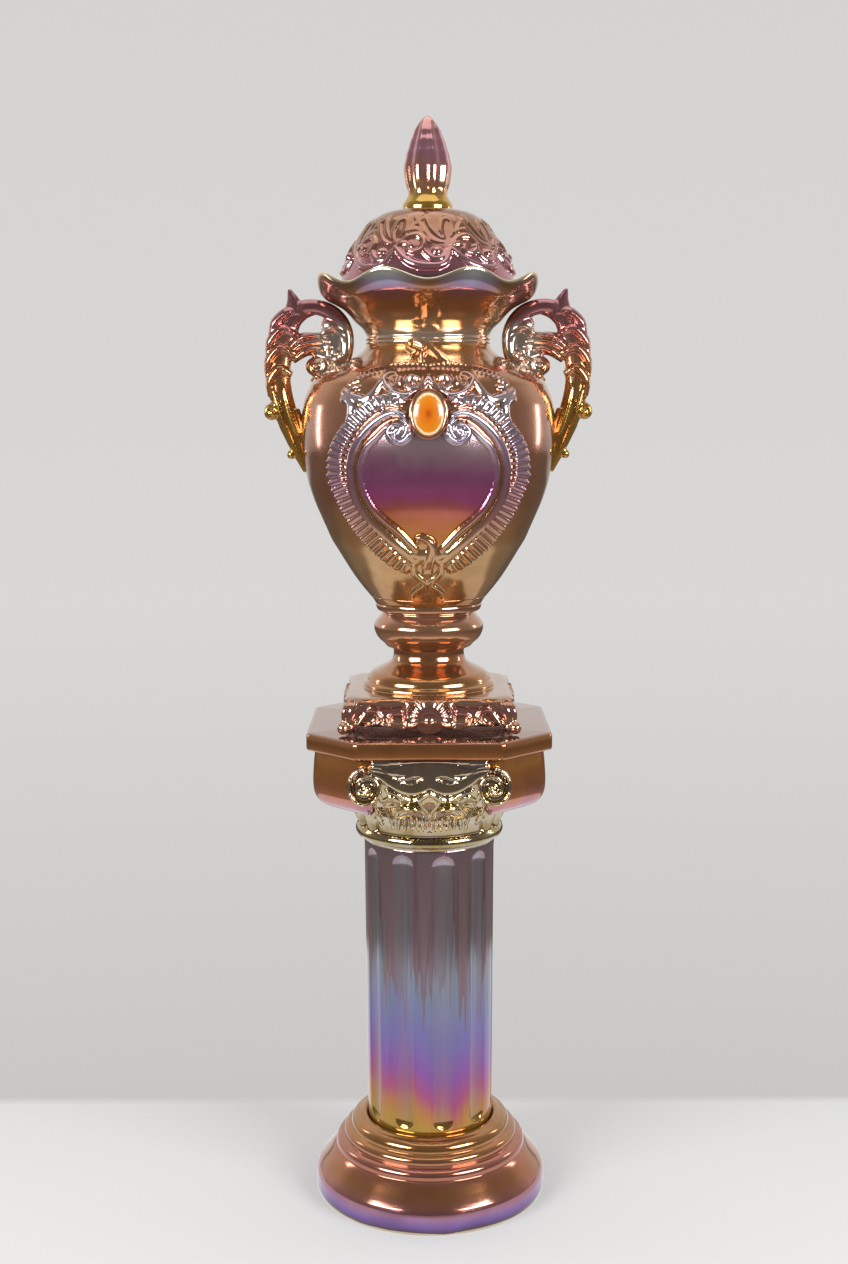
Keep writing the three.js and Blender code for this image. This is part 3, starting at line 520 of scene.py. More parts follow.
shaft_glaze = glaze(
    "running lustre glaze",
    0.082,
    0.432,
    [
        (0.0, (0.46, 0.32, 0.06)), (0.07, (0.5, 0.26, 0.05)), (0.115, (0.5, 0.2, 0.08)),
        (0.17, (0.42, 0.09, 0.22)), (0.25, (0.27, 0.1, 0.42)), (0.36, (0.19, 0.17, 0.45)),
        (0.49, (0.2, 0.24, 0.4)), (0.6, (0.22, 0.27, 0.34)), (1.0, (0.24, 0.28, 0.34)),
    ],
    drift=0.1,
    grain=40.0,
    stretch=0.06,
    layers=[
        # In the flutes the glaze turns violet and blue; its palest stop, at the flute heads, is a painted
        # highlight.
        (
            "flute",
            [
                (0, (0.4, 0.3, 0.08)), (0.2, (0.34, 0.16, 0.26)), (0.4, (0.24, 0.22, 0.5)),
                (0.62, (0.3, 0.36, 0.46)), (0.93, (0.36, 0.4, 0.5)), (1, (0.62, 0.66, 0.8))
            ],
            0.55
        )
    ],
)
brown_runs(shaft_glaze)
shaft = grid_piece("column_shaft", plain_shaft(), closed=True)
shaped(shaft, flute_tree(shaft_glaze))
set_piece(shaft, "column", shaft_glaze)

# Bell: the block between capital and slab, cast with the column. It follows the slab's square plan with
# its corners cut off, and its underside turns in towards the capital.
SLAB_HALF, SLAB_FLAT = 137.7, 81.4
SLAB_TOP, SLAB_THICK = 569.4, 20.0


def cut_square(half, count, soften):
    """Points round a square with cut corners, softened, for a half width in millimetres."""
    flat = SLAB_FLAT * half / SLAB_HALF
    corners = []
    for turn in range(4):
        c, s = math.cos(turn * math.pi / 2), math.sin(turn * math.pi / 2)
        for x, y in ((-flat, -half), (flat, -half)):
            corners.append((c * x - s * y, s * x + c * y))
    corners = np.array(corners)
    made = []
    for i, corner in enumerate(corners):
        before, after = corners[i - 1], corners[(i + 1) % len(corners)]
        to_before = (before - corner) / np.linalg.norm(before - corner)
        to_after = (after - corner) / np.linalg.norm(after - corner)
        start, end = corner + to_before * soften, corner + to_after * soften
        made += bent(start, corner, end, 5)
        following = after - to_after * soften
        steps = max(2, int(np.linalg.norm(following - end) / 6))
        for t in np.linspace(0, 1, steps + 1)[1:-1]:
            made.append(end + (following - end) * t)
    return evenly(np.vstack([*made, made[0]]), count, endpoint=False)


def square_rows(outline, soften, count=240):
    """Rings for (half width, height, roundness) rows; roundness 1 is a circle of that half width."""
    rows = []
    for half, height, roundness in outline:
        flat = cut_square(half, count, soften)
        circle = flat / np.linalg.norm(flat, axis=1, keepdims=True) * half
        ring = flat * (1 - roundness) + circle * roundness
        rows.append(np.column_stack([ring, np.full(count, height)]) / 1000)
    return np.array(rows)


def cove_depth(x, z):
    """How far the capital's face stands in front of the axis: round at the neck, flat under the slab."""
    front = np.interp(
        z, [440, 452, 462, 472, 482, 492, 502, 512, 524, 552],
        [83, 83.5, 86, 93, 104, 117, 128, 134, 136.4, 136.6]
    )
    bend = np.interp(z, [440, 462, 474, 486, 500, 515], [84, 87, 100, 140, 240, 600])
    return front - bend + np.sqrt(np.maximum(bend**2 - x**2, 1))


bell_outline = smoothed(
    [
        (93, 478.5, 1.0),
        (104, 479.5, 0.75),
        (116, 482.5, 0.3),
        (124.5, 489, 0.08),
        (129.5, 499, 0.0),
        (131.2, 512, 0.0),
        (130.5, 530, 0.0),
        (128.5, 551, 0.0),
    ],
    40,
)
bell_grid = square_rows(bell_outline, 10, 320)
bell_x, bell_y, bell_z = (bell_grid[..., k] * 1000 for k in range(3))
behind = (np.abs(bell_x) < 64) & (np.abs(bell_y) > 60)
bell_y = np.where(
    behind, np.sign(bell_y) * np.minimum(np.abs(bell_y), cove_depth(np.abs(bell_x), bell_z) - 6), bell_y
)
bell_grid[..., 1] = bell_y / 1000
bell = grid_piece("column_bell", bell_grid)
bell_glaze = glaze(
    "brown and violet glaze",
    0.478,
    0.552,
    [
        (0.0, (0.42, 0.36, 0.7)), (0.18, (0.54, 0.24, 0.3)), (0.4, (0.62, 0.25, 0.12)),
        (0.75, (0.64, 0.27, 0.08)), (1.0, (0.5, 0.21, 0.06)),
    ],
    drift=0.04,
)
set_piece(bell, "column", bell_glaze)

# Slab: the flat top of the column, cast with it: a square with its corners cut off and its edges
# rounded. The urn's foot stands on it.
slab_outline = [
    (126, SLAB_TOP - SLAB_THICK + 0.2, 0),
    (134.5, SLAB_TOP - SLAB_THICK, 0),
    (136.6, SLAB_TOP - SLAB_THICK + 0.8, 0),
    (137.7, SLAB_TOP - SLAB_THICK + 3.2, 0),
    (137.7, SLAB_TOP - 3.4, 0),
    (137.0, SLAB_TOP - 1.4, 0),
    (135.4, SLAB_TOP - 0.3, 0),
    (133.0, SLAB_TOP, 0),
    (60.0, SLAB_TOP, 0.5),
]
slab = grid_piece("column_slab", square_rows(slab_outline, 3))
slab_glaze = glaze(
    "slab glaze",
    0.549,
    0.5695,
    [
        (0.0, (0.42, 0.17, 0.07)), (0.5, (0.46, 0.19, 0.06)), (0.9, (0.44, 0.2, 0.09)),
        (1.0, (0.3, 0.16, 0.13))
    ],
    drift=0.004,
)
set_piece(slab, "column", slab_glaze)

# Capital: leaves, a bow and two volutes cast on the column's neck and fired with a silver-gold lustre.
# The front and the back are alike, and plain leaves stand on the two sides.
def read_at(share, values):
    """Values spaced evenly over a line, read at shares of its length."""
    return np.interp(share, np.linspace(0, 1, len(values)), values)


def swept(points, widths, depths, out, sides=12, steps=None):
    """A closed, tapering bar along points. Widths lie across it and depths along the way out."""
    path = smoothed(points, steps or max(8, 4 * len(points)))
    at = np.linspace(0, 1, len(path))
    wide, deep = read_at(at, widths), read_at(at, depths)
    along = np.gradient(path, axis=0)
    along /= np.linalg.norm(along, axis=1, keepdims=True)
    lift = np.broadcast_to(np.asarray(out(path) if callable(out) else out, float), path.shape).copy()
    lift -= along * (lift * along).sum(1, keepdims=True)
    lift /= np.linalg.norm(lift, axis=1, keepdims=True)
    across = np.cross(lift, along)
    turn = even_turns(sides)
    rings = (
        path[:, None]
        + across[:, None] * (np.cos(turn)[None] * wide[:, None])[..., None]
        + lift[:, None] * (np.sin(turn)[None] * deep[:, None])[..., None]
    )
    return rings / 1000


def ball(centre, sizes, columns=18, rows=10):
    """Rings of an ellipsoid with the given half sizes."""
    tilt = np.linspace(-np.pi / 2, np.pi / 2, rows + 2)[1:-1]
    turn = even_turns(columns)
    rings = np.stack(
        [
            np.cos(tilt)[:, None] * np.sin(turn)[None],
            -np.cos(tilt)[:, None] * np.cos(turn)[None],
            np.repeat(np.sin(tilt)[:, None], columns, 1),
        ],
        -1,
    )
    return (np.asarray(centre, float) + rings * np.asarray(sizes, float)) / 1000


def melted(name, bodies, voxel, soften=2):
    """Fuses overlapping closed bodies into one cast surface, as clay takes them from one mould."""
    points, faces = [], []
    for rings in bodies:
        part = grid_piece(name + "_part", rings)
        start = len(points)
        points += [tuple(v.co) for v in part.data.vertices]
        faces += [[start + i for i in p.vertices] for p in part.data.polygons]
        bpy.data.objects.remove(part)
    joined = bpy.data.meshes.new(name)
    joined.from_pydata(points, [], faces)
    piece = link(bpy.data.objects.new(name, joined))
    fuse = piece.modifiers.new("fuse", "REMESH")
    fuse.mode = "VOXEL"
    fuse.voxel_size = voxel / 1000
    ease = piece.modifiers.new("ease", "SMOOTH")
    ease.factor = 0.5
    ease.iterations = soften
    bpy.context.view_layer.update()
    made = bpy.data.meshes.new_from_object(piece.evaluated_get(bpy.context.evaluated_depsgraph_get()))
    piece.modifiers.clear()
    piece.data = made
    piece.data.name = name
    made.shade_smooth()
    return piece


def facing(points):
    """The level way out from the column's axis."""
    way = np.array(points, float)
    way[:, 2] = 0
    return way / np.linalg.norm(way, axis=1, keepdims=True)


def at_turn(turn, radius, z):
    return (radius * math.sin(turn), -radius * math.cos(turn), z)


def turned_to(rings, turn):
    c, s = math.cos(turn), math.sin(turn)
    return rings @ np.array([[c, s, 0], [-s, c, 0], [0, 0, 1]])

class Carving:
    """Raised work over a flat view of a surface: heights in millimetres at points (x, z)."""

    def __init__(self, x, z):
        self.spots = np.stack([x.ravel(), z.ravel()], 1)
        self.height = np.zeros(len(self.spots))

    def nearest(self, line):
        """Each spot's distance to a line of points, and its share of the way along it."""
        best = np.full(len(self.spots), 1e9)
        run_at = np.zeros_like(best)
        run = 0.0
        low, high = line.min(0) - 24, line.max(0) + 24
        near = np.where(((self.spots > low) & (self.spots < high)).all(1))[0]
        spots = self.spots[near]
        close, close_run = best[near], run_at[near]
        for start, end in zip(line[:-1], line[1:]):
            way = end - start
            length = np.hypot(*way)
            off = spots - start
            share = np.clip((off @ way) / length**2, 0, 1)
            gap = off - share[:, None] * way
            distance = np.hypot(gap[:, 0], gap[:, 1])
            nearer = distance < close
            close[nearer] = distance[nearer]
            close_run[nearer] = run + share[nearer] * length
            run += length
        best[near], run_at[near] = close, close_run
        return best, run_at / max(run, 1e-6)

    def raise_to(self, height):
        """Lifts every spot that lies lower than the height given for it."""
        self.height = np.maximum(self.height, height)

    def cord(self, points, widths, heights, steps=60, sharp=0.5):
        """A tapering rounded bar along a line."""
        distance, share = self.nearest(smoothed(points, steps))
        inside = np.clip(1 - (distance / read_at(share, widths)) ** 2, 0, 1)
        self.raise_to(read_at(share, heights) * inside**sharp)

    def knob(self, centre, radius, height):
        """A low round boss."""
        distance = np.hypot(*(self.spots - np.array(centre)).T)
        self.raise_to(height * np.clip(1 - (distance / radius) ** 2, 0, 1) ** 0.5)

    def cut(self, points, width, depth, steps):
        """A groove along a line."""
        distance, _ = self.nearest(smoothed(points, steps))
        self.height -= depth * np.clip(1 - (distance / width) ** 2, 0, 1)

    def comb(self, points, reaches, height, pitch, steps=120):
        """A row of small lobes that lie across a line, with notches between them."""
        line = smoothed(points, steps)
        distance, share = self.nearest(line)
        length = np.linalg.norm(np.diff(line, axis=0), axis=1).sum()
        teeth = np.abs(np.sin(np.pi * share * length / pitch))
        edge = read_at(share, reaches) * (0.7 + 0.3 * teeth**0.5)
        inside = np.clip((edge - distance) / 1.6, 0, 1) ** 0.6
        self.raise_to(inside * (height * (0.35 + 0.65 * teeth**0.7)))


def capital_relief(x, z):
    """Leaves, lip and bow of the face; its halves mirror each other."""
    half = Carving(np.abs(x), z)
    lip = [(0, 526), (6, 522.5), (14, 518.5), (22, 517), (32, 520), (42, 526), (54, 533), (66, 538)]
    lower = [(0, 514), (5, 511), (13, 505), (20, 503), (26, 505.5), (34, 511), (46, 515.5)]
    for row in (
        (lip, [7.5, 7.5, 7.5, 7, 6.5, 6, 5], [6.5, 6.5, 6, 6, 5.5, 5, 4], 60),
        (lower, [1.9] * 6, [5, 5, 5, 5, 5, 4], 60, 0.7),
        ([(0, 541), (24, 540), (44, 539), (60, 540)], [9, 9, 8, 6], [4.6, 4.6, 4, 3], 40),
        ([(0, 535), (16, 533.5), (30, 535), (44, 537)], [1.8, 2.2, 2, 1.6], [6.6, 6.6, 6, 5], 40),
        (
            [(0, 545), (9, 543), (17, 537.5), (9, 533), (0, 531.5)], [2.2, 2.4, 2.2, 2.4, 2.2],
            [7, 7, 7, 7, 7], 50
        ),
        ([(17, 537.5), (24, 541), (30, 545), (24, 546)], [2.4, 2.2, 1.8, 1.2], [6.6, 6.4, 6, 4], 30),
        ([(20, 533), (30, 529), (37, 524.5)], [2.2, 2, 1.4], [7, 7, 6.5], 20),
        (
            [(4, 474), (7, 484), (13, 489.5), (21, 491), (29, 489.5), (35, 484), (38, 474)], [2.2] * 7,
            [5.5, 6.4, 7, 7.4, 7, 6.4, 5.5], 50, 0.6
        ),
        (
            [(9, 478), (15, 482), (21, 483), (27, 482), (33, 478)], [6, 7, 7, 7, 6],
            [4.6, 5.4, 5.8, 5.4, 4.6], 40
        ),
        (
            [(55, 513), (52.5, 500), (47, 484), (42, 466), (41, 458)], [2, 2.2, 2.2, 2.2, 2],
            [4, 4.6, 5, 4.6, 3.5], 40, 0.7
        ),
        ([(50, 503), (42, 507), (36, 503), (32, 494)], [2.2, 3.4, 3, 1.6], [3, 4.4, 4, 2.5], 30),
        ([(47, 492), (40, 495), (37, 488)], [1.8, 2.6, 1.5], [3, 4, 2.5], 20),
        ([(60, 505), (64, 492), (60, 476), (54, 462)], [2, 5, 5.5, 2.5], [3, 4.4, 4.6, 3], 36),
    ):
        half.cord(*row)
    for foot, head in ((7, 8), (13, 13.5), (20, 20), (27.5, 27), (35, 33)):
        half.cord([(head, 475), ((foot + head) / 2, 467), (foot, 459)], [2.3, 2.6, 1.7], [4.6, 4.4, 3], 16)
    for a, b in ((57, 63), (62, 58)):
        half.cut([(a, 498), (b - 2, 484), (b - 7, 468)], 1.2, 1.6, 20)
    for row in (
        (
            [(0, 512), (7, 507), (11.5, 502), (8, 493), (3, 484), (1.6, 470), (2, 458)], [2.0] * 6,
            [5.6, 5.4, 5, 5, 4.6, 3.6], 50, 0.7
        ),
        ([(0, 507), (3, 500), (1, 488)], [5, 6.5, 2], [3.4, 4, 3], 20),
    ):
        half.cord(*row)
    return half.height.reshape(x.shape)


PANEL_HALF, PANEL_LOW, PANEL_HIGH = 67.0, 449.0, 549.0


def capital_panel():
    """The carved face as a closed slab whose back lies inside the bell and the neck."""
    step = 1.25
    z = np.arange(PANEL_LOW, PANEL_HIGH + 0.1, step)
    x = np.linspace(-PANEL_HALF, PANEL_HALF, int(2 * PANEL_HALF / step) + 1)
    grid_z, grid_x = np.meshgrid(z, x, indexing="ij")
    spread = grid_x * np.interp(grid_z, [449, 470, 490, 510, 549], [0.9, 0.92, 0.97, 1.0, 1.0])
    depth = cove_depth(spread, grid_z) + capital_relief(spread, grid_z)
    edge = np.clip((PANEL_HALF - np.abs(grid_x)) / 4, 0, 1) ** 0.5
    depth = np.minimum(depth - 10 * (1 - edge), 139.5)
    front = np.stack([spread, -depth, grid_z], -1)
    back = np.stack([spread[:, ::-1], -(cove_depth(spread[:, ::-1], grid_z) - 16), grid_z], -1)
    return np.concatenate([front, back], 1) / 1000


def capital_bodies():
    """The neck with its rings, the four volutes and the plain leaves of the two sides."""
    neck = [(75.5, 431), (78.5, 430.5), (79, 433.5), (77.5, 435), (84, 436), (87, 441), (85, 447)]
    neck += [(79.5, 450), (82, 466), (90, 480), (96, 490)]
    bodies = [turned_rows(rounded(neck, 0.6, 3), even_turns(120))]
    out = (0, -1, 0)
    face_y = -SLAB_HALF + 2.5
    front = []
    for side in (-1, 1):
        eye_x, eye_z = side * 69.5, 518.6
        spiral = []
        for s in np.linspace(0, 1, 40):
            turn = math.radians(95) + s * 3.9 * np.pi
            reach = (19 * (1 - s) ** 0.75 + 1.0) * (1 + 0.05 * math.sin(turn))
            x, z = eye_x - side * reach * math.cos(turn), eye_z + 1.1 * reach * math.sin(turn)
            spiral.append((x, face_y - 0.5 - 1.2 * s, z))
        front.append(swept(spiral, [2.4, 2.3, 2.0, 1.6], [5.6, 5.4, 4.8, 4.4], out, steps=110))
        front.append(ball((eye_x, face_y + 8.5, eye_z), (19, 7, 21), 28, 16))
        front.append(ball((eye_x, face_y + 1.5, eye_z), (3.4, 3.6, 3.6)))
        join = [(side * 40, face_y + 3, 533), (side * 54, face_y + 1, 539), (side * 66, face_y, 540.5)]
        front.append(swept(join, [5, 4, 3], [5, 5, 4.4], out))
    bodies += front + [turned_to(b, math.pi) for b in front]
    for turn in (math.pi / 2, -math.pi / 2):
        for lean in (-0.62, -0.31, 0, 0.31, 0.62):
            spine = [at_turn(turn + lean, r, z) for r, z in ((81, 451), (84, 464), (90, 477), (97, 486))]
            bodies.append(swept(spine, [9, 11.5, 11, 6], [3.4, 4, 4, 3], facing, steps=14))
            vein = [at_turn(turn + lean, r, z) for r, z in ((84, 453), (88.5, 465), (94, 477))]
            bodies.append(swept(vein, [1.6, 2, 1.6], [2, 2, 2], facing, steps=10))
    return bodies


capital = melted("column_capital", capital_bodies(), 1.7)
panel_rows = capital_panel()
capital_front = grid_piece("column_capital_front", panel_rows)
capital_back = grid_piece("column_capital_back", turned_to(panel_rows, math.pi))
capital_glaze = glaze(
    "silver-gold lustre",
    0.43,
    0.552,
    [
        (0.0, (0.56, 0.5, 0.38)), (0.12, (0.4, 0.29, 0.11)), (0.3, (0.6, 0.54, 0.42)),
        (0.5, (0.6, 0.47, 0.22)), (0.7, (0.62, 0.52, 0.36)), (1, (0.52, 0.4, 0.34)),
    ],
    drift=0.06,
    grain=40,
    metal=0.97,
    rough=0.1,
)
for piece in (capital, capital_front, capital_back):
    set_piece(piece, "column", capital_glaze)

# Foot of the urn: a square moulded plinth on four curled toes, with a shell and scrolls on each of its
# four sides, cast in one with the urn. It rests on the slab.
FOOT_HALF = 91.6
FOOT_CORNER, FOOT_SQUARENESS = 14, 9.0


def soft_square(half, z, count=96):
    """A ring of a square with rounded corners, in millimetres."""
    turn = even_turns(count)
    x, y = np.sin(turn), -np.cos(turn)
    reach = 1 / (np.abs(x) ** FOOT_SQUARENESS + np.abs(y) ** FOOT_SQUARENESS) ** (1 / FOOT_SQUARENESS)
    wide = np.minimum(reach * half, (half - FOOT_CORNER) * math.sqrt(2) + FOOT_CORNER)
    return np.column_stack([wide * x, wide * y, np.full(count, z)]) / 1000


def foot_side():
    """Shell, scrolls, links and leaves of the front side."""
    face, shell_z = -FOOT_HALF, 587.6
    bodies = []

    def bar(points, out, widths, depths, steps):
        line = [(x, face - out, z) for x, z in points]
        bodies.append(swept(line, widths, depths, (0, -1, 0), steps=steps))

    def knob(x, out, z, *sizes):
        bodies.append(ball((x, face - out, z), sizes))

    for turn in np.radians(np.linspace(-112, 112, 15)):
        rib = [
            (reach * math.sin(turn), face - out, shell_z + reach * math.cos(turn))
            for reach, out in ((2.5, 2), (12, 3.6), (20.5, 0.5))
        ]
        bodies.append(swept(rib, [0.9, 1.9, 2.7], [2.6, 4.2, 4.4], (0, -1, 0), sides=10, steps=8))
    knob(0, -1, shell_z, 19, 5, 19)
    arch = [(10.4 * math.sin(t), 584.5 + 10.4 * math.cos(t)) for t in np.radians(np.linspace(-100, 100, 11))]
    bar(arch, 4.5, [1.2, 2.2, 2.4, 2.2, 1.2], [2.5] * 5, 24)
    knob(0, 4, 585, 6, 4, 6)
    loop_turns = np.linspace(0, 1.9 * np.pi, 14)
    for side in (-1, 1):

        def mirrored(*points):
            return [(side * x, z) for x, z in points]

        hug = mirrored((17, 608), (22, 604.5), (25.4, 598), (26.4, 592), (24.5, 587.5), (21.5, 589))
        bar(hug, 1.5, [1.8, 2.6, 3, 2.8, 2.6, 2], [4, 5, 5, 5, 4.5, 4], 26)
        knob(side * 24.5, 2, 580.5, 3.4, 4, 3.4)
        loop = mirrored(*[(34.5 + 10.5 * math.cos(t), 587 + 5.6 * math.sin(t)) for t in loop_turns])
        bar(loop, 1, [1.7] * 4, [3] * 4, 36)
        strip = mirrored((22, 607.5), (34, 603.5), (48, 602.5), (62, 605), (80, 606))
        bar(strip, 0.5, [1.8, 2.6, 2.6, 2.4, 2], [3.5] * 5, 20)
        knob(side * 55, 1, 602, 4, 4, 3)
        curl = mirrored((80, 580), (73.5, 589), (68.6, 595), (60.3, 595), (54, 589), (56, 583), (61.5, 584.5))
        bar(curl, 0.5, [2.2, 2.8, 3, 2.8, 2.4, 2.2, 1.6], [4.4, 5, 5, 4.4, 4, 4, 3], 34)
        bar(mirrored((67, 602), (75, 599), (83, 592), (87, 583)), -0.5, [2, 5, 5.5, 3], [3, 5, 5, 3], 16)
        edge = mirrored((16, 577.5), (30, 576.6), (46, 579.5), (60, 581.5), (72, 579.5))
        bar(edge, -1, [1.6, 1.8, 1.8, 1.8, 1.8], [3.5] * 5, 20)
    return bodies


def foot_toe():
    """The curled toe under one corner."""
    out = (0.7071, -0.7071, 0.4)
    spine = [(u, -u, z) for u, z in ((80, 605), (88, 598), (89.5, 587), (89, 579), (93, 575.8))]
    ridge = [(u, -u, z) for u, z in ((86, 606.5), (93, 599), (94.5, 588), (92.5, 581))]
    return [
        swept(spine, [13, 12, 9.5, 7.5, 6], [5, 7, 6.5, 6, 5.4], out, sides=16, steps=22),
        ball((95.6, -95.6, 577.6), (6.9, 6.9, 7.2)),
        swept(ridge, [3, 4, 3.4, 2.4], [3, 3.4, 3, 2.4], out, sides=10, steps=16),
    ]


def foot_bodies():
    steps = [(78, 579.5), (86, 577), (89.5, 579), (91.2, 584), (91.6, 600), (91.8, 603.5)]
    steps += [(93.4, 605.4), (93.8, 607.4), (91.5, 609.4), (86, 610.3)]
    bodies = [np.array([soft_square(half, z) for half, z in steps])]
    bodies.append(turned_rows([(70, 600), (76, 609), (75, 613), (72, 616)], even_turns(96)))
    side = foot_side() + foot_toe()
    for quarter in range(4):
        bodies += [turned_to(b, quarter * math.pi / 2) for b in side]
    return bodies


foot = melted("urn_foot", foot_bodies(), 1.4)
foot_glaze = glaze(
    "copper and gold foot glaze",
    0.5697,
    0.612,
    [
        (0.0, (0.46, 0.24, 0.18)), (0.35, (0.5, 0.3, 0.2)), (0.6, (0.42, 0.2, 0.18)),
        (0.85, (0.44, 0.25, 0.18)), (1.0, (0.46, 0.26, 0.14)),
    ],
    drift=0.02,
    grain=40,
)
set_piece(foot, "urn", foot_glaze)

# Stem of the urn: a turned foot ring, a waist and a knop between two beads, cast in one with the foot
# below it and the bowl above it.
stem_profile = np.vstack(
    [
        [(62, 609), (70, 609)],
        bulge((75.5, 610.5), (74.2, 615.8), 1.2, 5),
        smoothed(
            [
                (71.2, 617), (70, 622), (65.7, 627.4), (58.6, 631), (51.7, 634.5), (45.5, 638), (42.4, 641.5),
                (40.6, 648.6), (41.2, 655.6)
            ],
            30
        ),
        bulge((44.2, 656.2), (50.5, 659.6), 1.2, 4),
        smoothed(
            [
                (53, 662), (57.5, 666), (60.8, 671), (62.8, 677), (62.6, 683), (60, 688), (55, 693.5),
                (52.6, 697.3)
            ],
            30
        ),
        bulge((55, 698.4), (60.3, 702.6), 1.4, 5),
        smoothed([(61, 704.4), (60.2, 707.5), (61.5, 710.5), (66.8, 715.5)], 8),
        [(52, 716)],
    ]
)
stem = grid_piece("urn_stem", turned_rows(stem_profile, even_turns(160)))
stem_glaze = glaze(
    "stem glaze",
    0.609,
    0.716,
    [
        (0.0, (0.46, 0.24, 0.1)), (0.15, (0.46, 0.22, 0.09)), (0.4, (0.42, 0.18, 0.08)),
        (0.62, (0.56, 0.28, 0.15)), (0.8, (0.52, 0.27, 0.18)), (1.0, (0.48, 0.23, 0.1)),
    ],
    drift=0.02,
)
set_piece(stem, "urn", stem_glaze)

# Bowl of the urn: a slip-cast hollow body. The heart-shaped cartouche with its double rib, comb of small
# lobes, waves and leaves is raised in the mould on the front, and the same again on the back.
BOWL_FOOT, BOWL_HEAD = 708.0, 1001.0
STONE_AT, BEZEL_SEAT = 922.7, (20.4, 25.3)
BULB = smoothed(
    [
        (60.5, 706), (63.6, 711.7), (69.3, 718.7), (75, 725.6), (85.3, 739.5), (93.9, 753), (102.4, 767),
        (110.9, 781), (117.1, 795), (123.3, 809), (128.9, 822), (133.9, 836), (137.8, 850), (141.2, 870),
        (143.2, 885), (144, 900), (143.6, 915), (142.4, 930), (140.9, 938), (138.5, 945), (135.5, 951.7),
        (131.7, 958.5), (124.5, 965.5), (113.5, 972.5), (99.7, 978.5), (85.5, 985), (76.5, 991), (71, 997),
        (69.2, 1002),
    ],
    400,
)


def bulb_radius(z):
    return np.interp(z, BULB[:, 1], BULB[:, 0])


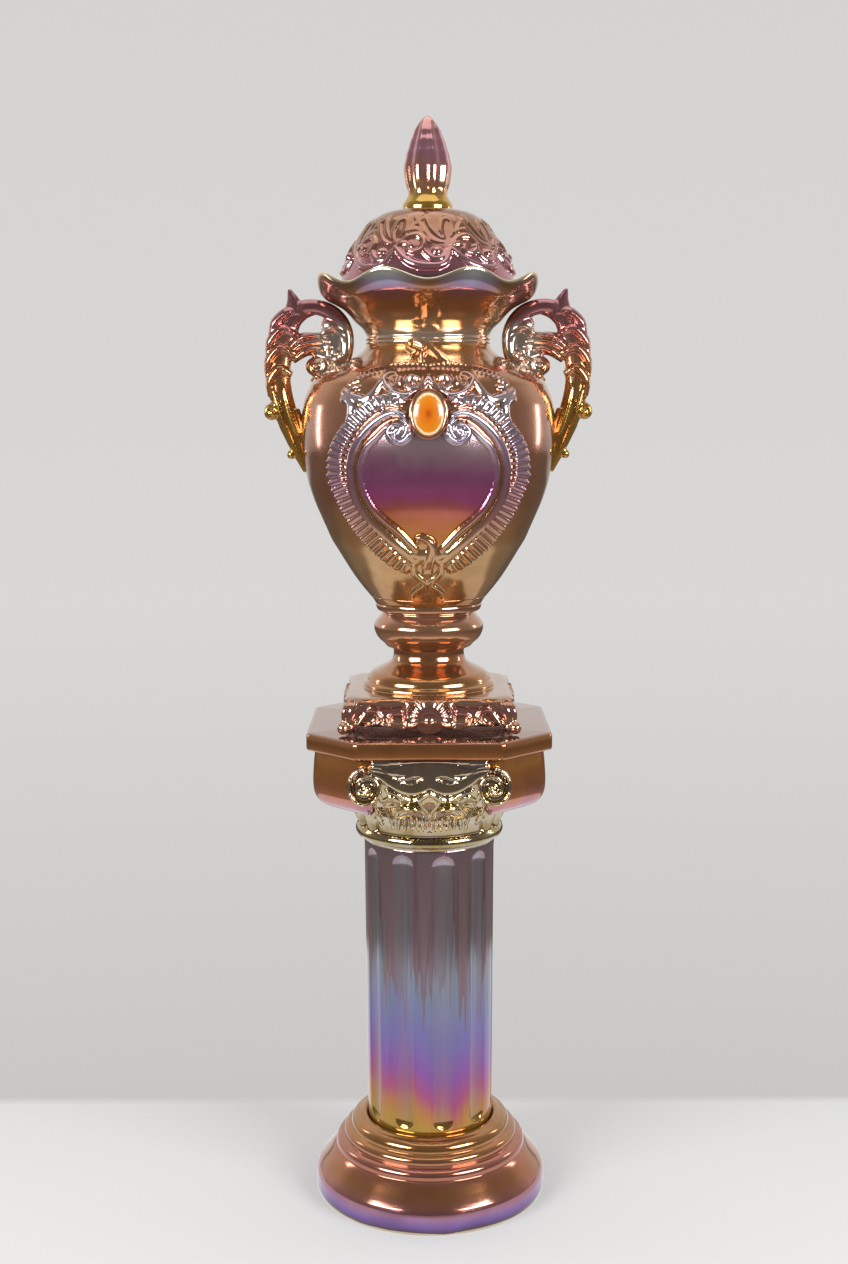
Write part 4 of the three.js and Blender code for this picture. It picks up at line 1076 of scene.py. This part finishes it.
def cartouche(x, z):
    """The front's raised work. The halves mirror each other apart from two small leaves."""
    half = Carving(np.abs(x), z)
    fringe = [
        (27, 936), (44, 938), (60, 931), (75, 918), (88, 901), (97, 884), (99.5, 866), (98.5, 852), (92, 836),
        (82, 815), (68.5, 797), (55, 782), (36, 764), (25, 757)
    ]
    half.comb(fringe, [5, 7, 8, 8, 9, 9, 10, 10, 10, 10, 11, 11, 10, 7], 5.0, 7.4)
    outer_rib = [
        (17, 764.5), (30, 778.2), (47.7, 794.7), (63.6, 809.9), (76, 828.9), (81.3, 845.1), (83, 859.5),
        (82.5, 873), (77.9, 888.2), (67.4, 903.4), (52.3, 917), (37.2, 923.8), (23.7, 920), (18.4, 909.6),
        (21.4, 899.2), (29.7, 893.9), (38.7, 897.6), (41.7, 905.1), (35.7, 911.8), (29.7, 909.6),
        (29.7, 903.6), (32.7, 902.1),
    ]
    rib_widths = [5.2, 5.2, 5.2, 5.2, 5.2, 5.0, 4.6, 4.0, 3.4, 2.8, 2.6]
    half.cord(outer_rib, rib_widths, [4.6, 5, 5, 5, 5, 5, 5.5, 6, 6.4, 6, 5], 150)
    inner_rib = [
        (14, 777), (30, 795.2), (47.7, 810.5), (60.1, 823.9), (69.8, 843.7), (72.4, 859.8), (71.5, 873),
        (65.5, 888.4), (56.8, 897), (46.8, 907.1), (40, 912.5),
    ]
    wave = [
        (0.5, 962), (3.5, 955), (7.8, 949), (14.6, 943.8), (23.7, 941.6), (34.2, 943.9), (43.3, 951.3),
        (46.3, 960.2), (42.5, 965.4), (35.7, 966.1)
    ]
    for row in (
        (inner_rib, [3.4, 3.4, 3.3, 3.2, 2.8, 2], [4.0, 4.4, 4.4, 4.2, 4, 3], 90),
        ([(0, 769), (9, 768.5), (17, 771)], [7.5, 7, 6], [4.6, 4.6, 4.6], 12),
        (wave, [2.4, 3, 3.6, 4, 4, 3.8, 3.4, 3, 2.6, 2], [4, 5, 5.5, 6, 6, 6, 5, 5, 4, 3], 60),
        (
            [
                (46.3, 962), (52, 953), (58, 944), (66, 938.5), (75, 938), (81.7, 943.5), (80, 950.5),
                (73.5, 951)
            ],
            [2.4, 3, 3.4, 3.6, 3.4, 3, 2.6, 2], [3, 4.5, 5, 5.5, 5, 4.5, 4, 3], 60
        ),
        (
            [
                (10.1, 960.1), (16.9, 961.9), (22.9, 957.9), (22.2, 950.5), (16.9, 948.3), (13.4, 952),
                (16.4, 954.9)
            ],
            [2.2] * 5, [4.2, 4.6, 4.6, 4.6, 4.4], 40
        ),
        ([(29, 962), (31, 955), (36.5, 951.5), (40, 955.5), (37, 959.5)], [1.9] * 4, [3.6] * 4, 30),
        ([(60.7, 935), (73, 938.5), (83, 941.5), (89.5, 946)], [4, 5, 5, 4], [4, 5, 4.6, 3.4], 30),
        (
            [(84.9, 917), (81.6, 925), (81, 932), (84.5, 937), (90, 939)], [2.6, 4, 5, 5, 4],
            [3, 4.6, 5, 4.6, 3], 30
        ),
        (
            [(72, 922), (69, 930), (62, 934.5), (54, 933), (49, 927)], [2.4, 4, 4.4, 4, 2.4],
            [3, 4.5, 4.6, 4.2, 3], 30
        ),
        ([(30, 930.5), (38, 934.5), (47, 935.5), (55, 932)], [2.2, 3.2, 3.2, 2], [3, 4, 4, 3], 24),
    ):
        half.cord(*row)
    half.comb(
        [(2, 972.6), (14.6, 973.4), (29.7, 972.7), (44.8, 970.6), (59.8, 967), (72, 962), (84, 954)],
        [3.4, 4.2, 4.4, 4.4, 4.2, 4, 2.5], 2.8, 5.2, 90
    )
    whole = Carving(x, z)
    whole.height = half.height.copy()
    for row in (
        (
            [(-17.8, 985.7), (-12, 988.5), (-18, 991), (-22, 995.5), (-19.5, 1001), (-12, 1001)],
            [2.2, 2.4, 2.4, 2.2, 2.2, 2], [3, 4, 4, 4, 3.4, 2.5], 40
        ),
        (
            [(-13, 1000.5), (-5, 997.5), (3, 991.5), (11, 985), (21, 978)], [3, 4.6, 5, 4.4, 2.4],
            [3, 4.6, 5, 4.6, 2.5], 40
        ),
        ([(-6, 978), (-7, 984), (-3, 989), (2, 990)], [2.4, 3.2, 3, 2], [3, 4.4, 4, 3], 24),
        (
            [(-1.4, 758), (0.8, 766), (3.5, 776), (2.5, 784.5), (-4.5, 789.9), (-11.5, 790.5), (-12.5, 785)],
            [6.5, 6, 5.6, 5, 4, 3, 2], [5, 7, 7.5, 7, 6, 4.5, 3], 50
        ),
        ([(-1.4, 762), (-1.4, 752), (-1.4, 741)], [3, 6, 2.4], [3, 5, 3], 16),
    ):
        whole.cord(*row)
    tie = [(3, 768), (13.5, 762), (14.5, 752), (6.5, 742.5), (-4, 735), (-15, 726.5), (-17, 721.5)]
    for side in (-1, 1):
        line = [(-1.4 + side * x, z) for x, z in tie]
        whole.cord(line, [3, 3.6, 3.6, 3.6, 3.8, 3.6, 2.4], [4, 4.6, 4.6, 4.6, 4.4, 4, 2.4], 60)
    return whole.height.reshape(x.shape)


def inside_heart(x, z):
    """1 inside the double rib and 0 from it outwards."""
    outline = [
        (0, 784), (14, 784), (30, 795.2), (47.7, 810.5), (60.1, 823.9), (69.8, 843.7), (72.4, 859.8),
        (71, 874), (64.4, 888.4), (55, 899), (42, 905), (34, 912), (22, 918), (17, 905), (0, 896),
    ]
    outline = smoothed(outline, 120)
    spots = np.stack([np.abs(x).ravel(), z.ravel()], 1)
    loop = np.vstack([outline, outline[:1]])
    crossings = np.zeros(len(spots), int)
    for (x0, z0), (x1, z1) in zip(loop[:-1], loop[1:]):
        spans = (z0 > spots[:, 1]) != (z1 > spots[:, 1])
        where = x0 + (spots[:, 1] - z0) * (x1 - x0) / (z1 - z0 if z1 != z0 else 1e-9)
        crossings += spans & (spots[:, 0] < where)
    return (crossings % 2).reshape(x.shape).astype(float)


def bowl_turns():
    """Columns round the bowl, close together at the front and the back."""
    dense = np.radians(64)
    front = np.linspace(-dense, dense, 236)
    back = np.linspace(np.pi - dense, np.pi + dense, 130)
    right = np.linspace(dense, np.pi - dense, 18)[1:-1]
    left = np.linspace(np.pi + dense, 2 * np.pi - dense, 18)[1:-1]
    return np.concatenate([front, right, back, left])


def raised_rows(outline, turns, lift, droop):
    """Rings of a turned outline, lifted off it by lift millimetres square to its slope."""
    radius, z = outline
    tilt = np.arctan(np.gradient(radius, z))[:, None]
    out = radius[:, None] + lift * np.cos(tilt)
    rise = z[:, None] - lift * np.sin(tilt) * droop
    return np.stack([out * np.sin(turns), -out * np.cos(turns), rise], -1) / 1000


def bowl_piece():
    """The bowl with its raised work outside, its plain wall inside and its painted values."""
    z = np.linspace(BOWL_FOOT, BOWL_HEAD, 206)
    turns = bowl_turns()
    radius = bulb_radius(z)
    grid_z, turn = np.meshgrid(z, turns, indexing="ij")
    front = np.cos(turn) > 0
    x = radius[:, None] * np.sin(turn)
    look_x = np.where(front, x, -x)
    seen = np.abs(np.cos(turn))
    lift = cartouche(look_x, grid_z) * np.clip((seen - 0.42) / 0.18, 0, 1)
    heart = inside_heart(look_x, grid_z) * (seen > 0.4)
    oval = np.hypot(look_x / BEZEL_SEAT[0], (grid_z - STONE_AT) / BEZEL_SEAT[1])
    lift = np.where(front & (oval < 1.35), lift * np.clip((oval - 1.02) / 0.2, 0, 1), lift)
    outer = raised_rows((radius, z), turns, lift, 0.6)
    inner = [
        (61, 1003), (61.5, 996), (69, 988), (88, 975.5), (112, 962), (127, 947), (133.5, 925), (136, 900),
        (133, 870), (125, 835), (108, 790), (85, 750), (60, 722), (30, 716),
    ]
    piece = grid_piece("urn_bowl", np.vstack([outer, turned_rows(smoothed(inner, 26), turns)]))
    mark(piece, "relief", np.clip(lift / 5, 0, 1))
    mark(piece, "heart", heart)
    return piece


bowl = bowl_piece()
bowl_glaze = glaze(
    "bowl lustre",
    0.706,
    1.002,
    [
        (0.0, (0.48, 0.22, 0.07)), (0.15, (0.56, 0.35, 0.16)), (0.3, (0.5, 0.26, 0.11)),
        (0.5, (0.44, 0.2, 0.11)), (0.7, (0.44, 0.2, 0.13)), (0.86, (0.5, 0.25, 0.13)),
        (1.0, (0.56, 0.3, 0.12)),
    ],
    drift=0.05,
    rough=0.16,
    layers=[
        (
            "heart",
            [
                (0.26, (0.46, 0.2, 0.035)), (0.33, (0.46, 0.14, 0.04)), (0.38, (0.5, 0.13, 0.1)),
                (0.44, (0.46, 0.1, 0.3)), (0.52, (0.44, 0.15, 0.32)), (0.6, (0.52, 0.36, 0.42)),
                (0.68, (0.6, 0.5, 0.54)), (0.73, (0.5, 0.5, 0.66)),
            ],
            1.0,
        ),
        (
            "relief",
            [
                (0.0, (0.5, 0.3, 0.12)), (0.2, (0.54, 0.34, 0.18)), (0.35, (0.46, 0.24, 0.24)),
                (0.5, (0.42, 0.25, 0.42)), (0.62, (0.46, 0.42, 0.64)), (0.74, (0.58, 0.66, 0.8)),
                (0.83, (0.52, 0.46, 0.56)), (0.92, (0.52, 0.36, 0.28)), (1.0, (0.58, 0.38, 0.18)),
            ],
            0.7,
        ),
    ],
)
set_piece(bowl, "urn", bowl_glaze)

# Mouth of the urn: the neck with its fine rings and the flared lip, pressed into eight soft waves while
# the clay was damp. A pale line along the lip's edge is a painted highlight.
RUFFLES, RUFFLE_RISE, RUFFLE_SWELL = 8, 6.2, 0.018
RUFFLE_FROM, RUFFLE_TO = 1036, 1069.7
FLARE = smoothed(
    [
        (69.2, 1001), (69, 1005), (70.6, 1011), (74.5, 1018), (82.4, 1025), (88.5, 1032), (95.3, 1038.5),
        (104.8, 1045), (115.5, 1051.5), (122.5, 1058.5), (126.4, 1065), (127.4, 1068.6)
    ],
    60,
)
FLARE_INSIDE = smoothed(
    [
        (125.2, 1069.8), (122.5, 1066.5), (116, 1059), (107, 1052.5), (96, 1047), (86, 1040), (77, 1031),
        (69, 1022), (64, 1013), (61.2, 1003)
    ],
    34,
)


def mouth_piece():
    """The neck and the lip as one closed wall, waved, with its painted lobes and a painted highlight along
    its rim.
    """
    turns = even_turns(360)
    necking = [
        (62, 999.5), (68, 999.4), (70.3, 1000.4), (70.9, 1001.8), (69.6, 1003), (69.4, 1003.6),
        (70.8, 1004.6), (71, 1006.2), (69.8, 1007.6), (69.9, 1008.6),
    ]
    lip = [(127.3, 1069.6), (126.9, 1070.6), (126, 1070.8)]
    profile = np.vstack([necking, FLARE[FLARE[:, 1] > 1010], lip, FLARE_INSIDE])
    rows = turned_rows(profile, turns)
    level = np.repeat(profile[:, 1:2], len(turns), 1)
    grown = np.clip((level - RUFFLE_FROM) / (RUFFLE_TO - RUFFLE_FROM), 0, 1)
    grown = grown**2 * (3 - 2 * grown)
    wave = -np.cos(RUFFLES * turns)[None] * grown
    swell = 1 + RUFFLE_SWELL * wave
    rows[..., :2] *= (swell - RUFFLE_SWELL * grown)[..., None]
    rows[..., 2] += wave * RUFFLE_RISE / 1000
    piece = grid_piece("urn_mouth", rows, closed=True)
    # A narrow pale band along the lip's outer edge: a painted highlight.
    rim = np.exp(-(((level - 1070.4) / 1.7) ** 2)) * (profile[:, :1] > 100)
    mark(piece, "rim", rim)
    facing_front = np.clip((np.abs(np.cos(turns)) - 0.5) / 0.25, 0, 1)
    mark(piece, "lobe", ((0.5 - 0.5 * np.cos(RUFFLES * turns)) * facing_front)[None] * grown)
    return piece


mouth = mouth_piece()
mouth_glaze = glaze(
    "mouth lustre",
    1.0,
    1.076,
    [
        (0.0, (0.62, 0.5, 0.4)), (0.16, (0.6, 0.45, 0.32)), (0.3, (0.52, 0.36, 0.22)),
        (0.45, (0.42, 0.21, 0.09)), (0.8, (0.34, 0.16, 0.08)), (1.0, (0.62, 0.42, 0.28)),
    ],
    drift=0.008,
    layers=[
        (
            "lobe",
            [
                (0.5, (0.5, 0.25, 0.1)), (0.6, (0.42, 0.16, 0.42)), (0.7, (0.3, 0.22, 0.66)),
                (0.84, (0.36, 0.44, 0.66)), (0.95, (0.66, 0.7, 0.62)),
            ],
            1.0,
        ),
        # The painted highlight along the lip's edge.
        ("rim", [(0, (0.86, 0.76, 0.46)), (1, (0.9, 0.84, 0.62))], 1.0),
    ],
)
set_piece(mouth, "urn", mouth_glaze)

# Handles: each an arm of lapped leaves with a spike at its top, a rosette of scrolls against the neck and
# a curled knob on the bulb. They are pressed in two halves and luted to the body before firing.
def flipped(rings):
    """The mirror image across X, with its rings still turning the same way."""
    return (rings * np.array([-1, 1, 1]))[:, ::-1]


def handle_bodies():
    """The right handle as overlapping bars and balls, all in the plane y = 0."""
    bodies = []

    def rod(points, widths, depths, steps):
        line = [(x, 0, z) for x, z in points]
        bodies.append(swept(line, widths, depths, (0, 1, 0), sides=14, steps=steps))

    def knob(x, z, *sizes):
        bodies.append(ball((x, 0, z), sizes))

    def spiral(x, z, radius, start, turns, way, thick, deep):
        line = []
        for s in np.linspace(0, 1, int(16 * turns) + 2):
            reach = radius * (1 - 0.86 * s)
            angle = math.radians(start) + way * s * turns * 2 * np.pi
            line.append((x + reach * math.cos(angle), z + reach * math.sin(angle)))
        rod(line, [thick, thick, thick * 0.7], [deep, deep, deep * 0.75], int(26 * turns))

    crook = [
        (148, 1037), (138, 1042), (123, 1041.5), (108, 1035.5), (97.5, 1025), (92, 1012), (91.5, 998),
        (94, 985), (99, 977)
    ]
    rod(crook, [8, 8.6, 8.8, 8.8, 8.6, 8.2, 8.2, 7.5, 5], [9.5, 10, 10, 10, 9.5, 9, 8.5, 8, 7], 60)
    arm = [
        (126, 1040), (141, 1036.5), (153, 1028), (161, 1014), (167, 997), (169.4, 978), (169, 957),
        (165.5, 938), (159, 917), (151.5, 896), (144.5, 874), (139.5, 857)
    ]
    rod(
        arm, [6, 9.5, 13, 14.5, 14.5, 14, 13.5, 13, 13, 11, 7.5, 3],
        [7, 7.5, 8, 8, 8, 8, 8, 8.5, 8.5, 8, 6.5, 3], 80
    )
    rod([(152, 928), (148, 912), (144, 892)], [6, 8, 8], [8, 8, 7], 14)
    knob(108, 999, 20, 8.5, 22)
    knob(108, 1020, 13, 8, 14)
    knob(124, 976, 15, 8, 12)
    rod([(96, 978), (108, 971), (120, 965), (131, 957)], [6, 8, 8, 5], [8, 9, 9, 8], 20)
    rod([(112, 1000), (128, 1001.5), (143, 999.5), (158, 990)], [12, 13, 14, 13], [7.5, 7.5, 7.5, 8], 30)
    rod([(150, 1040), (152, 1050), (154.4, 1057), (155.9, 1062)], [12, 8.4, 5, 2], [9, 7, 4.6, 2], 20)
    for lobe in (
        [(179, 1008), (171.5, 1025), (157, 1036), (143, 1035)],
        [(182.4, 986), (177, 1004), (164, 1017), (149, 1012)],
        [(182.8, 963), (179.5, 982), (167, 996), (151, 989)],
        [(180.2, 942), (178, 960), (167.5, 973), (154, 967)],
    ):
        rod(lobe, [1.8, 6.2, 7.2, 3.4], [6.5, 11.5, 13, 8.5], 30)
    for leaf in (
        [(108, 1012), (124, 1011), (141, 1008), (154, 999)],
        [(112, 1003), (127, 1003), (143, 1000), (156, 990)],
        [(116, 994), (128, 995), (140, 991.5), (149, 984)],
    ):
        rod(leaf, [2.2, 3.6, 3.6, 1.6], [8, 10, 10.5, 8], 26)
    spiral(104.5, 989, 10, 60, 1.45, -1, 2.8, 11)
    knob(104.5, 989, 4.8, 12, 4.8)
    spiral(126, 975.5, 10, 130, 1.45, 1, 2.8, 10.5)
    knob(126, 975.5, 4.6, 11.5, 4.6)
    knob(114, 1003, 5, 11, 5)
    rod(
        [(123, 1009), (114, 1015.5), (104, 1016.5), (96, 1011), (94, 1002)], [2.4, 3.2, 3.4, 3, 2.2],
        [9, 11, 11, 10.5, 8], 30
    )
    spiral(176.6, 924, 10.6, 200, 1.3, -1, 3.6, 8.5)
    knob(176.6, 924, 5.6, 9.6, 5.6)
    rod([(165, 938), (169.5, 930), (172, 921)], [5, 6, 5], [9, 9, 7], 12)
    knob(156, 877, 5.4, 6, 5.4)
    rod([(150, 889), (154, 882), (156, 877)], [4, 4, 3.4], [7, 6, 5], 10)
    rod(
        [(176, 952), (172, 938), (167, 922), (159, 902), (150, 880), (143, 862)],
        [2.6, 3.4, 3.6, 3.2, 2.4, 1.6], [8, 10.5, 10.5, 10, 8, 4], 40,
    )
    rod([(163, 956), (159.5, 940), (154, 920), (147.5, 900)], [2.6, 3.4, 3.6, 3.2], [8, 10.5, 10.5, 10], 40)
    return bodies


handle_glaze = glaze(
    "copper and gold handle glaze",
    0.855,
    1.064,
    [
        (0.0, (0.56, 0.32, 0.07)), (0.3, (0.54, 0.3, 0.07)), (0.48, (0.5, 0.25, 0.09)),
        (0.62, (0.44, 0.2, 0.12)), (0.8, (0.4, 0.17, 0.17)), (1.0, (0.38, 0.16, 0.21)),
    ],
    drift=0.05,
    grain=30,
    rough=0.19,
    layers=[("silver", [(0, (0.56, 0.5, 0.42)), (1, (0.5, 0.44, 0.4))], 0.8)],
)
for side, name in ((1, "right"), (-1, "left")):
    bodies = handle_bodies()
    if side < 0:
        bodies = [flipped(b) for b in bodies]
    handle = melted("handle_" + name, bodies, 1.25)
    spots = np.array([v.co for v in handle.data.vertices]) * 1000
    towards = np.clip((131 - np.abs(spots[:, 0])) / 8, 0, 1) * np.clip((spots[:, 2] - 962) / 6, 0, 1)
    mark(handle, "silver", towards * np.clip((1028 - spots[:, 2]) / 8, 0, 1))
    set_piece(handle, "urn", handle_glaze)

# Bezel and cabochon: an orange oval with a low dome, glued into a rounded bezel that is moulded with the
# bowl at the head of the heart.
STONE_HALF = (16.4, 22.6)
BULB_FACE = -149.35


def oval_rows(profile, count=72):
    """Rings of an oval for (grow, out) pairs: grow on its half sizes and distance in front of the bulb."""
    turn = even_turns(count)
    rows = []
    for grow, out in profile:
        wide, tall = STONE_HALF[0] + grow, STONE_HALF[1] + grow
        level = np.full(count, BULB_FACE - out)
        rows.append(np.stack([wide * np.cos(turn), level, STONE_AT + tall * np.sin(turn)], -1) / 1000)
    return np.array(rows)


bezel_profile = [
    (0.3, -9), (4, -9), (4.4, -3), (4.2, -1.2), (3.2, -0.2), (2.2, 0), (1.2, -0.3), (0.5, -1.2), (0.35, -2.4),
]
bezel = grid_piece("urn_bezel", oval_rows(bezel_profile), closed=True)
set_piece(bezel, "urn", bowl_glaze)
stone = grid_piece(
    "front_cabochon",
    oval_rows(
        [
            (-0.2, -4.7), (0, -4.4), (0, -1.6), (-0.6, -0.4), (-1.8, 0.4), (-3.6, 1.2), (-6, 1.9), (-9, 2.5),
            (-12, 2.8), (-15, 2.95)
        ]
    ),
)


def cabochon_glaze():
    """Clear orange, darker and mottled at its middle, with a pale rim."""
    material = bpy.data.materials.new("orange cabochon")
    material.use_nodes = True
    tree = material.node_tree
    where = wired(tree, "ShaderNodeTexCoord").outputs["Object"]
    centre = ("Location", (0, 0, -STONE_AT / STONE_HALF[1]))
    size = ("Scale", (1000 / STONE_HALF[0], 0, 1000 / STONE_HALF[1]))
    place = wired(tree, "ShaderNodeMapping", ("Vector", where), centre, size)
    reach = wired(tree, "ShaderNodeVectorMath", (0, place), operation="LENGTH").outputs["Value"]
    spoke = wired(tree, "ShaderNodeVectorMath", (0, place), operation="NORMALIZE")
    grain = wired(tree, "ShaderNodeTexNoise", ("Vector", spoke), ("Scale", 14.0), ("Detail", 2.0))
    oranges = [
        (0.15, (0.3, 0.05, 0.003)), (0.42, (0.5, 0.12, 0.004)), (0.95, (0.54, 0.18, 0.006)),
        (1.06, (0.6, 0.28, 0.03)), (1.11, (0.72, 0.58, 0.36)),
    ]
    fit(
        tree,
        tree.nodes["Principled BSDF"],
        ("Base Color", ramp(tree, maths(tree, "MULTIPLY_ADD", grain, 0.26, reach), oranges)),
        ("Roughness", 0.22),
        ("Coat Weight", 0.7),
        ("Coat Roughness", 0.06),
    )
    return material


set_piece(stone, "front_cabochon", cabochon_glaze())

# Lid: a slip-cast dome with nine running scrolls and flame-like waves above them. It sits inside the
# ruffled lip and lifts off.
SWAGS, FIRST_SWAG = 9, -4.5
DEGREE = 1.46
DOME = smoothed(
    [
        (100.6, 1052.2), (99, 1066), (95.6, 1078), (93.2, 1085), (90.4, 1091.5), (87.5, 1098), (84.2, 1104.6),
        (79.8, 1111), (75.9, 1118), (72, 1124), (67.2, 1131), (61, 1137), (52.5, 1142.5), (42, 1146),
        (31, 1147.6)
    ],
    200,
)


def scrolls(turn, z):
    """The lid's raised work over one repeat, with its angles laid out in millimetres on a middle radius."""
    repeat = 2 * np.pi / SWAGS
    off = np.mod(turn - math.radians(FIRST_SWAG) + repeat / 2, repeat) - repeat / 2
    wave = [
        (-24, 1100.5), (-20.5, 1094.5), (-16.6, 1088.6), (-9.5, 1081.8), (-2.2, 1079.2), (5.0, 1079.2),
        (10.5, 1081.8), (14.2, 1090.5), (16.0, 1099.5),
    ]
    spiral = [
        (-21.5, 1104.5), (-15.5, 1111), (-8, 1112.3), (-3, 1106.5), (-3.6, 1098.3), (-8.5, 1094),
        (-13.5, 1096.5), (-12.5, 1102),
    ]
    sweep = [(-4, 1101), (-1.5, 1093), (3.5, 1087.2), (10, 1088.5), (13.5, 1096)]
    spiral_sizes = [2, 3.2, 3.6, 3.4, 3.2, 3.0, 2.6, 2.2], [1.6, 2.8, 3.6, 3.8, 3.8, 3.6, 3.4, 3]
    cords = [
        (wave, [2, 3.2, 4, 4.4, 4.4, 4.2, 3.6, 3, 2], [2, 3.4, 4.2, 4.6, 4.6, 4.4, 4, 3.2, 2], 50),
        (spiral, *spiral_sizes, 70),
        (sweep, [2.8, 3.6, 3.8, 3.2, 2], [3, 3.4, 3.4, 3, 2], 36),
    ]
    for line, wide, tall in (
        ([(-20.0, 1116.5), (-9.0, 1119), (-2.5, 1111), (1.5, 1104)], 3.4, 1.9),
        ([(-12.2, 1133.6), (-6.7, 1124.4), (-0.5, 1113.0), (4.5, 1107.2), (10.5, 1104.5)], 3.4, 1.9),
        ([(-3.1, 1138.4), (0.2, 1126.9), (5.3, 1115.8), (11, 1109)], 3.0, 1.6),
        (
            [(12.7, 1109.2), (10.4, 1119), (13.7, 1130.8), (20.1, 1131.0), (21.5, 1120.8), (18.6, 1111.7)],
            3.0, 1.6
        ),
        ([(21.5, 1109), (24, 1117.9), (33, 1129.7), (40, 1137)], 3.0, 1.6),
        ([(16.5, 1100), (20.5, 1104.5), (24.5, 1104), (27, 1098.5)], 2.6, 2.0),
    ):
        cords.append((line, [1.2, wide, wide, wide, 1.2], [1.2, tall, tall, tall * 0.8, 1.0], 40))
    best = np.zeros(turn.shape)
    for shift in (-1, 0, 1):
        part = Carving(np.degrees(off + shift * repeat) * DEGREE, z)
        for line, *how in cords:
            part.cord([((a - FIRST_SWAG) * DEGREE, b) for a, b in line], *how)
        part.knob(((6.1 - FIRST_SWAG) * DEGREE, 1094.6), 5.2, 5.8)
        best = np.maximum(best, part.height.reshape(turn.shape))
    return best


def lid_piece():
    """The dome with its raised work outside, its plain wall and seat inside and its painted relief."""
    turns = even_turns(396)
    z = np.concatenate([np.linspace(1052.2, 1074, 10), np.linspace(1076, 1146.2, 96)])
    grid_z, turn = np.meshgrid(z, turns, indexing="ij")
    radius = np.interp(z, DOME[:, 1], DOME[:, 0])
    lift = scrolls(turn, grid_z) * np.clip((1141 - grid_z) / 8, 0, 1)
    outer = raised_rows((radius, z), turns, lift, 0.7)
    inner = [
        (26, 1147.4), (12, 1147.6), (12, 1140), (40, 1137), (62, 1122), (76, 1100), (85, 1080), (88, 1062),
        (84, 1052), (84, 1041), (90, 1040.6), (91, 1041), (93, 1051.2), (99.5, 1051.6),
    ]
    piece = grid_piece("lid_dome", np.vstack([outer, turned_rows(inner, turns)]), closed=True)
    mark(piece, "relief", np.clip(lift / 5, 0, 1))
    return piece


lid = lid_piece()
lid_glaze = glaze(
    "mauve and copper lid glaze",
    1.05,
    1.148,
    [
        (0.0, (0.5, 0.24, 0.27)), (0.2, (0.5, 0.24, 0.3)), (0.36, (0.48, 0.22, 0.27)),
        (0.5, (0.44, 0.2, 0.18)), (0.75, (0.36, 0.17, 0.1)), (1.0, (0.28, 0.12, 0.05)),
    ],
    drift=0.012,
    grain=20,
    layers=[
        (
            "relief",
            [
                (0.2, (0.44, 0.28, 0.34)), (0.4, (0.5, 0.34, 0.36)), (0.6, (0.5, 0.28, 0.16)),
                (1.0, (0.52, 0.3, 0.14)),
            ],
            0.6,
        )
    ],
)
set_piece(lid, "lid", lid_glaze)

# Finial: a fluted bud on a small gold collar, cast in one with the lid. It is the knob by which the lid
# is lifted.
finial_profile = np.vstack(
    [
        [(20, 1145.5), (25, 1145.6)],
        smoothed([(27.6, 1146.6), (28.3, 1150.5), (27.6, 1154.4), (25.2, 1158), (22.8, 1162)], 14),
        smoothed(
            [
                (22.3, 1164.5), (23, 1170), (25, 1176), (26.3, 1183), (27.2, 1190), (27.3, 1196),
                (25.8, 1202), (24.4, 1209), (22.2, 1215), (20, 1222), (17.3, 1228), (14.6, 1235),
                (10.6, 1241), (6.7, 1246), (3.0, 1249), (0.9, 1249.9)
            ],
            90
        ),
    ]
)


def finial_piece():
    """The bud with nine soft flutes and its collar's painted band."""
    turns = even_turns(160)
    rows = turned_rows(finial_profile, turns)
    level = finial_profile[:, 1:2]
    soft = np.clip((level - 1162) / 8, 0, 1) * np.clip((1249 - level) / 12, 0, 1)
    rows[..., :2] *= (1 - 0.08 * soft * (np.abs(np.cos(4.5 * turns[None] + 0.4)) ** 2.2))[..., None]
    piece = grid_piece("lid_finial", rows)
    collar = np.repeat(np.clip((1164.5 - level) / 2, 0, 1), len(turns), 1)
    mark(piece, "collar", np.concatenate([collar.ravel(), [1, 0]]))
    return piece


finial = finial_piece()
finial_glaze = glaze(
    "finial glaze",
    1.146,
    1.25,
    [
        (0.0, (0.66, 0.42, 0.14)), (0.22, (0.64, 0.36, 0.16)), (0.4, (0.62, 0.3, 0.24)),
        (0.6, (0.62, 0.3, 0.4)), (0.8, (0.62, 0.3, 0.34)), (1.0, (0.64, 0.32, 0.25)),
    ],
    drift=0.03,
    grain=26,
    stretch=0.4,
    layers=[("collar", [(0, (0.62, 0.38, 0.08)), (1, (0.62, 0.38, 0.08))], 1.0)],
)
set_piece(finial, "lid", finial_glaze)
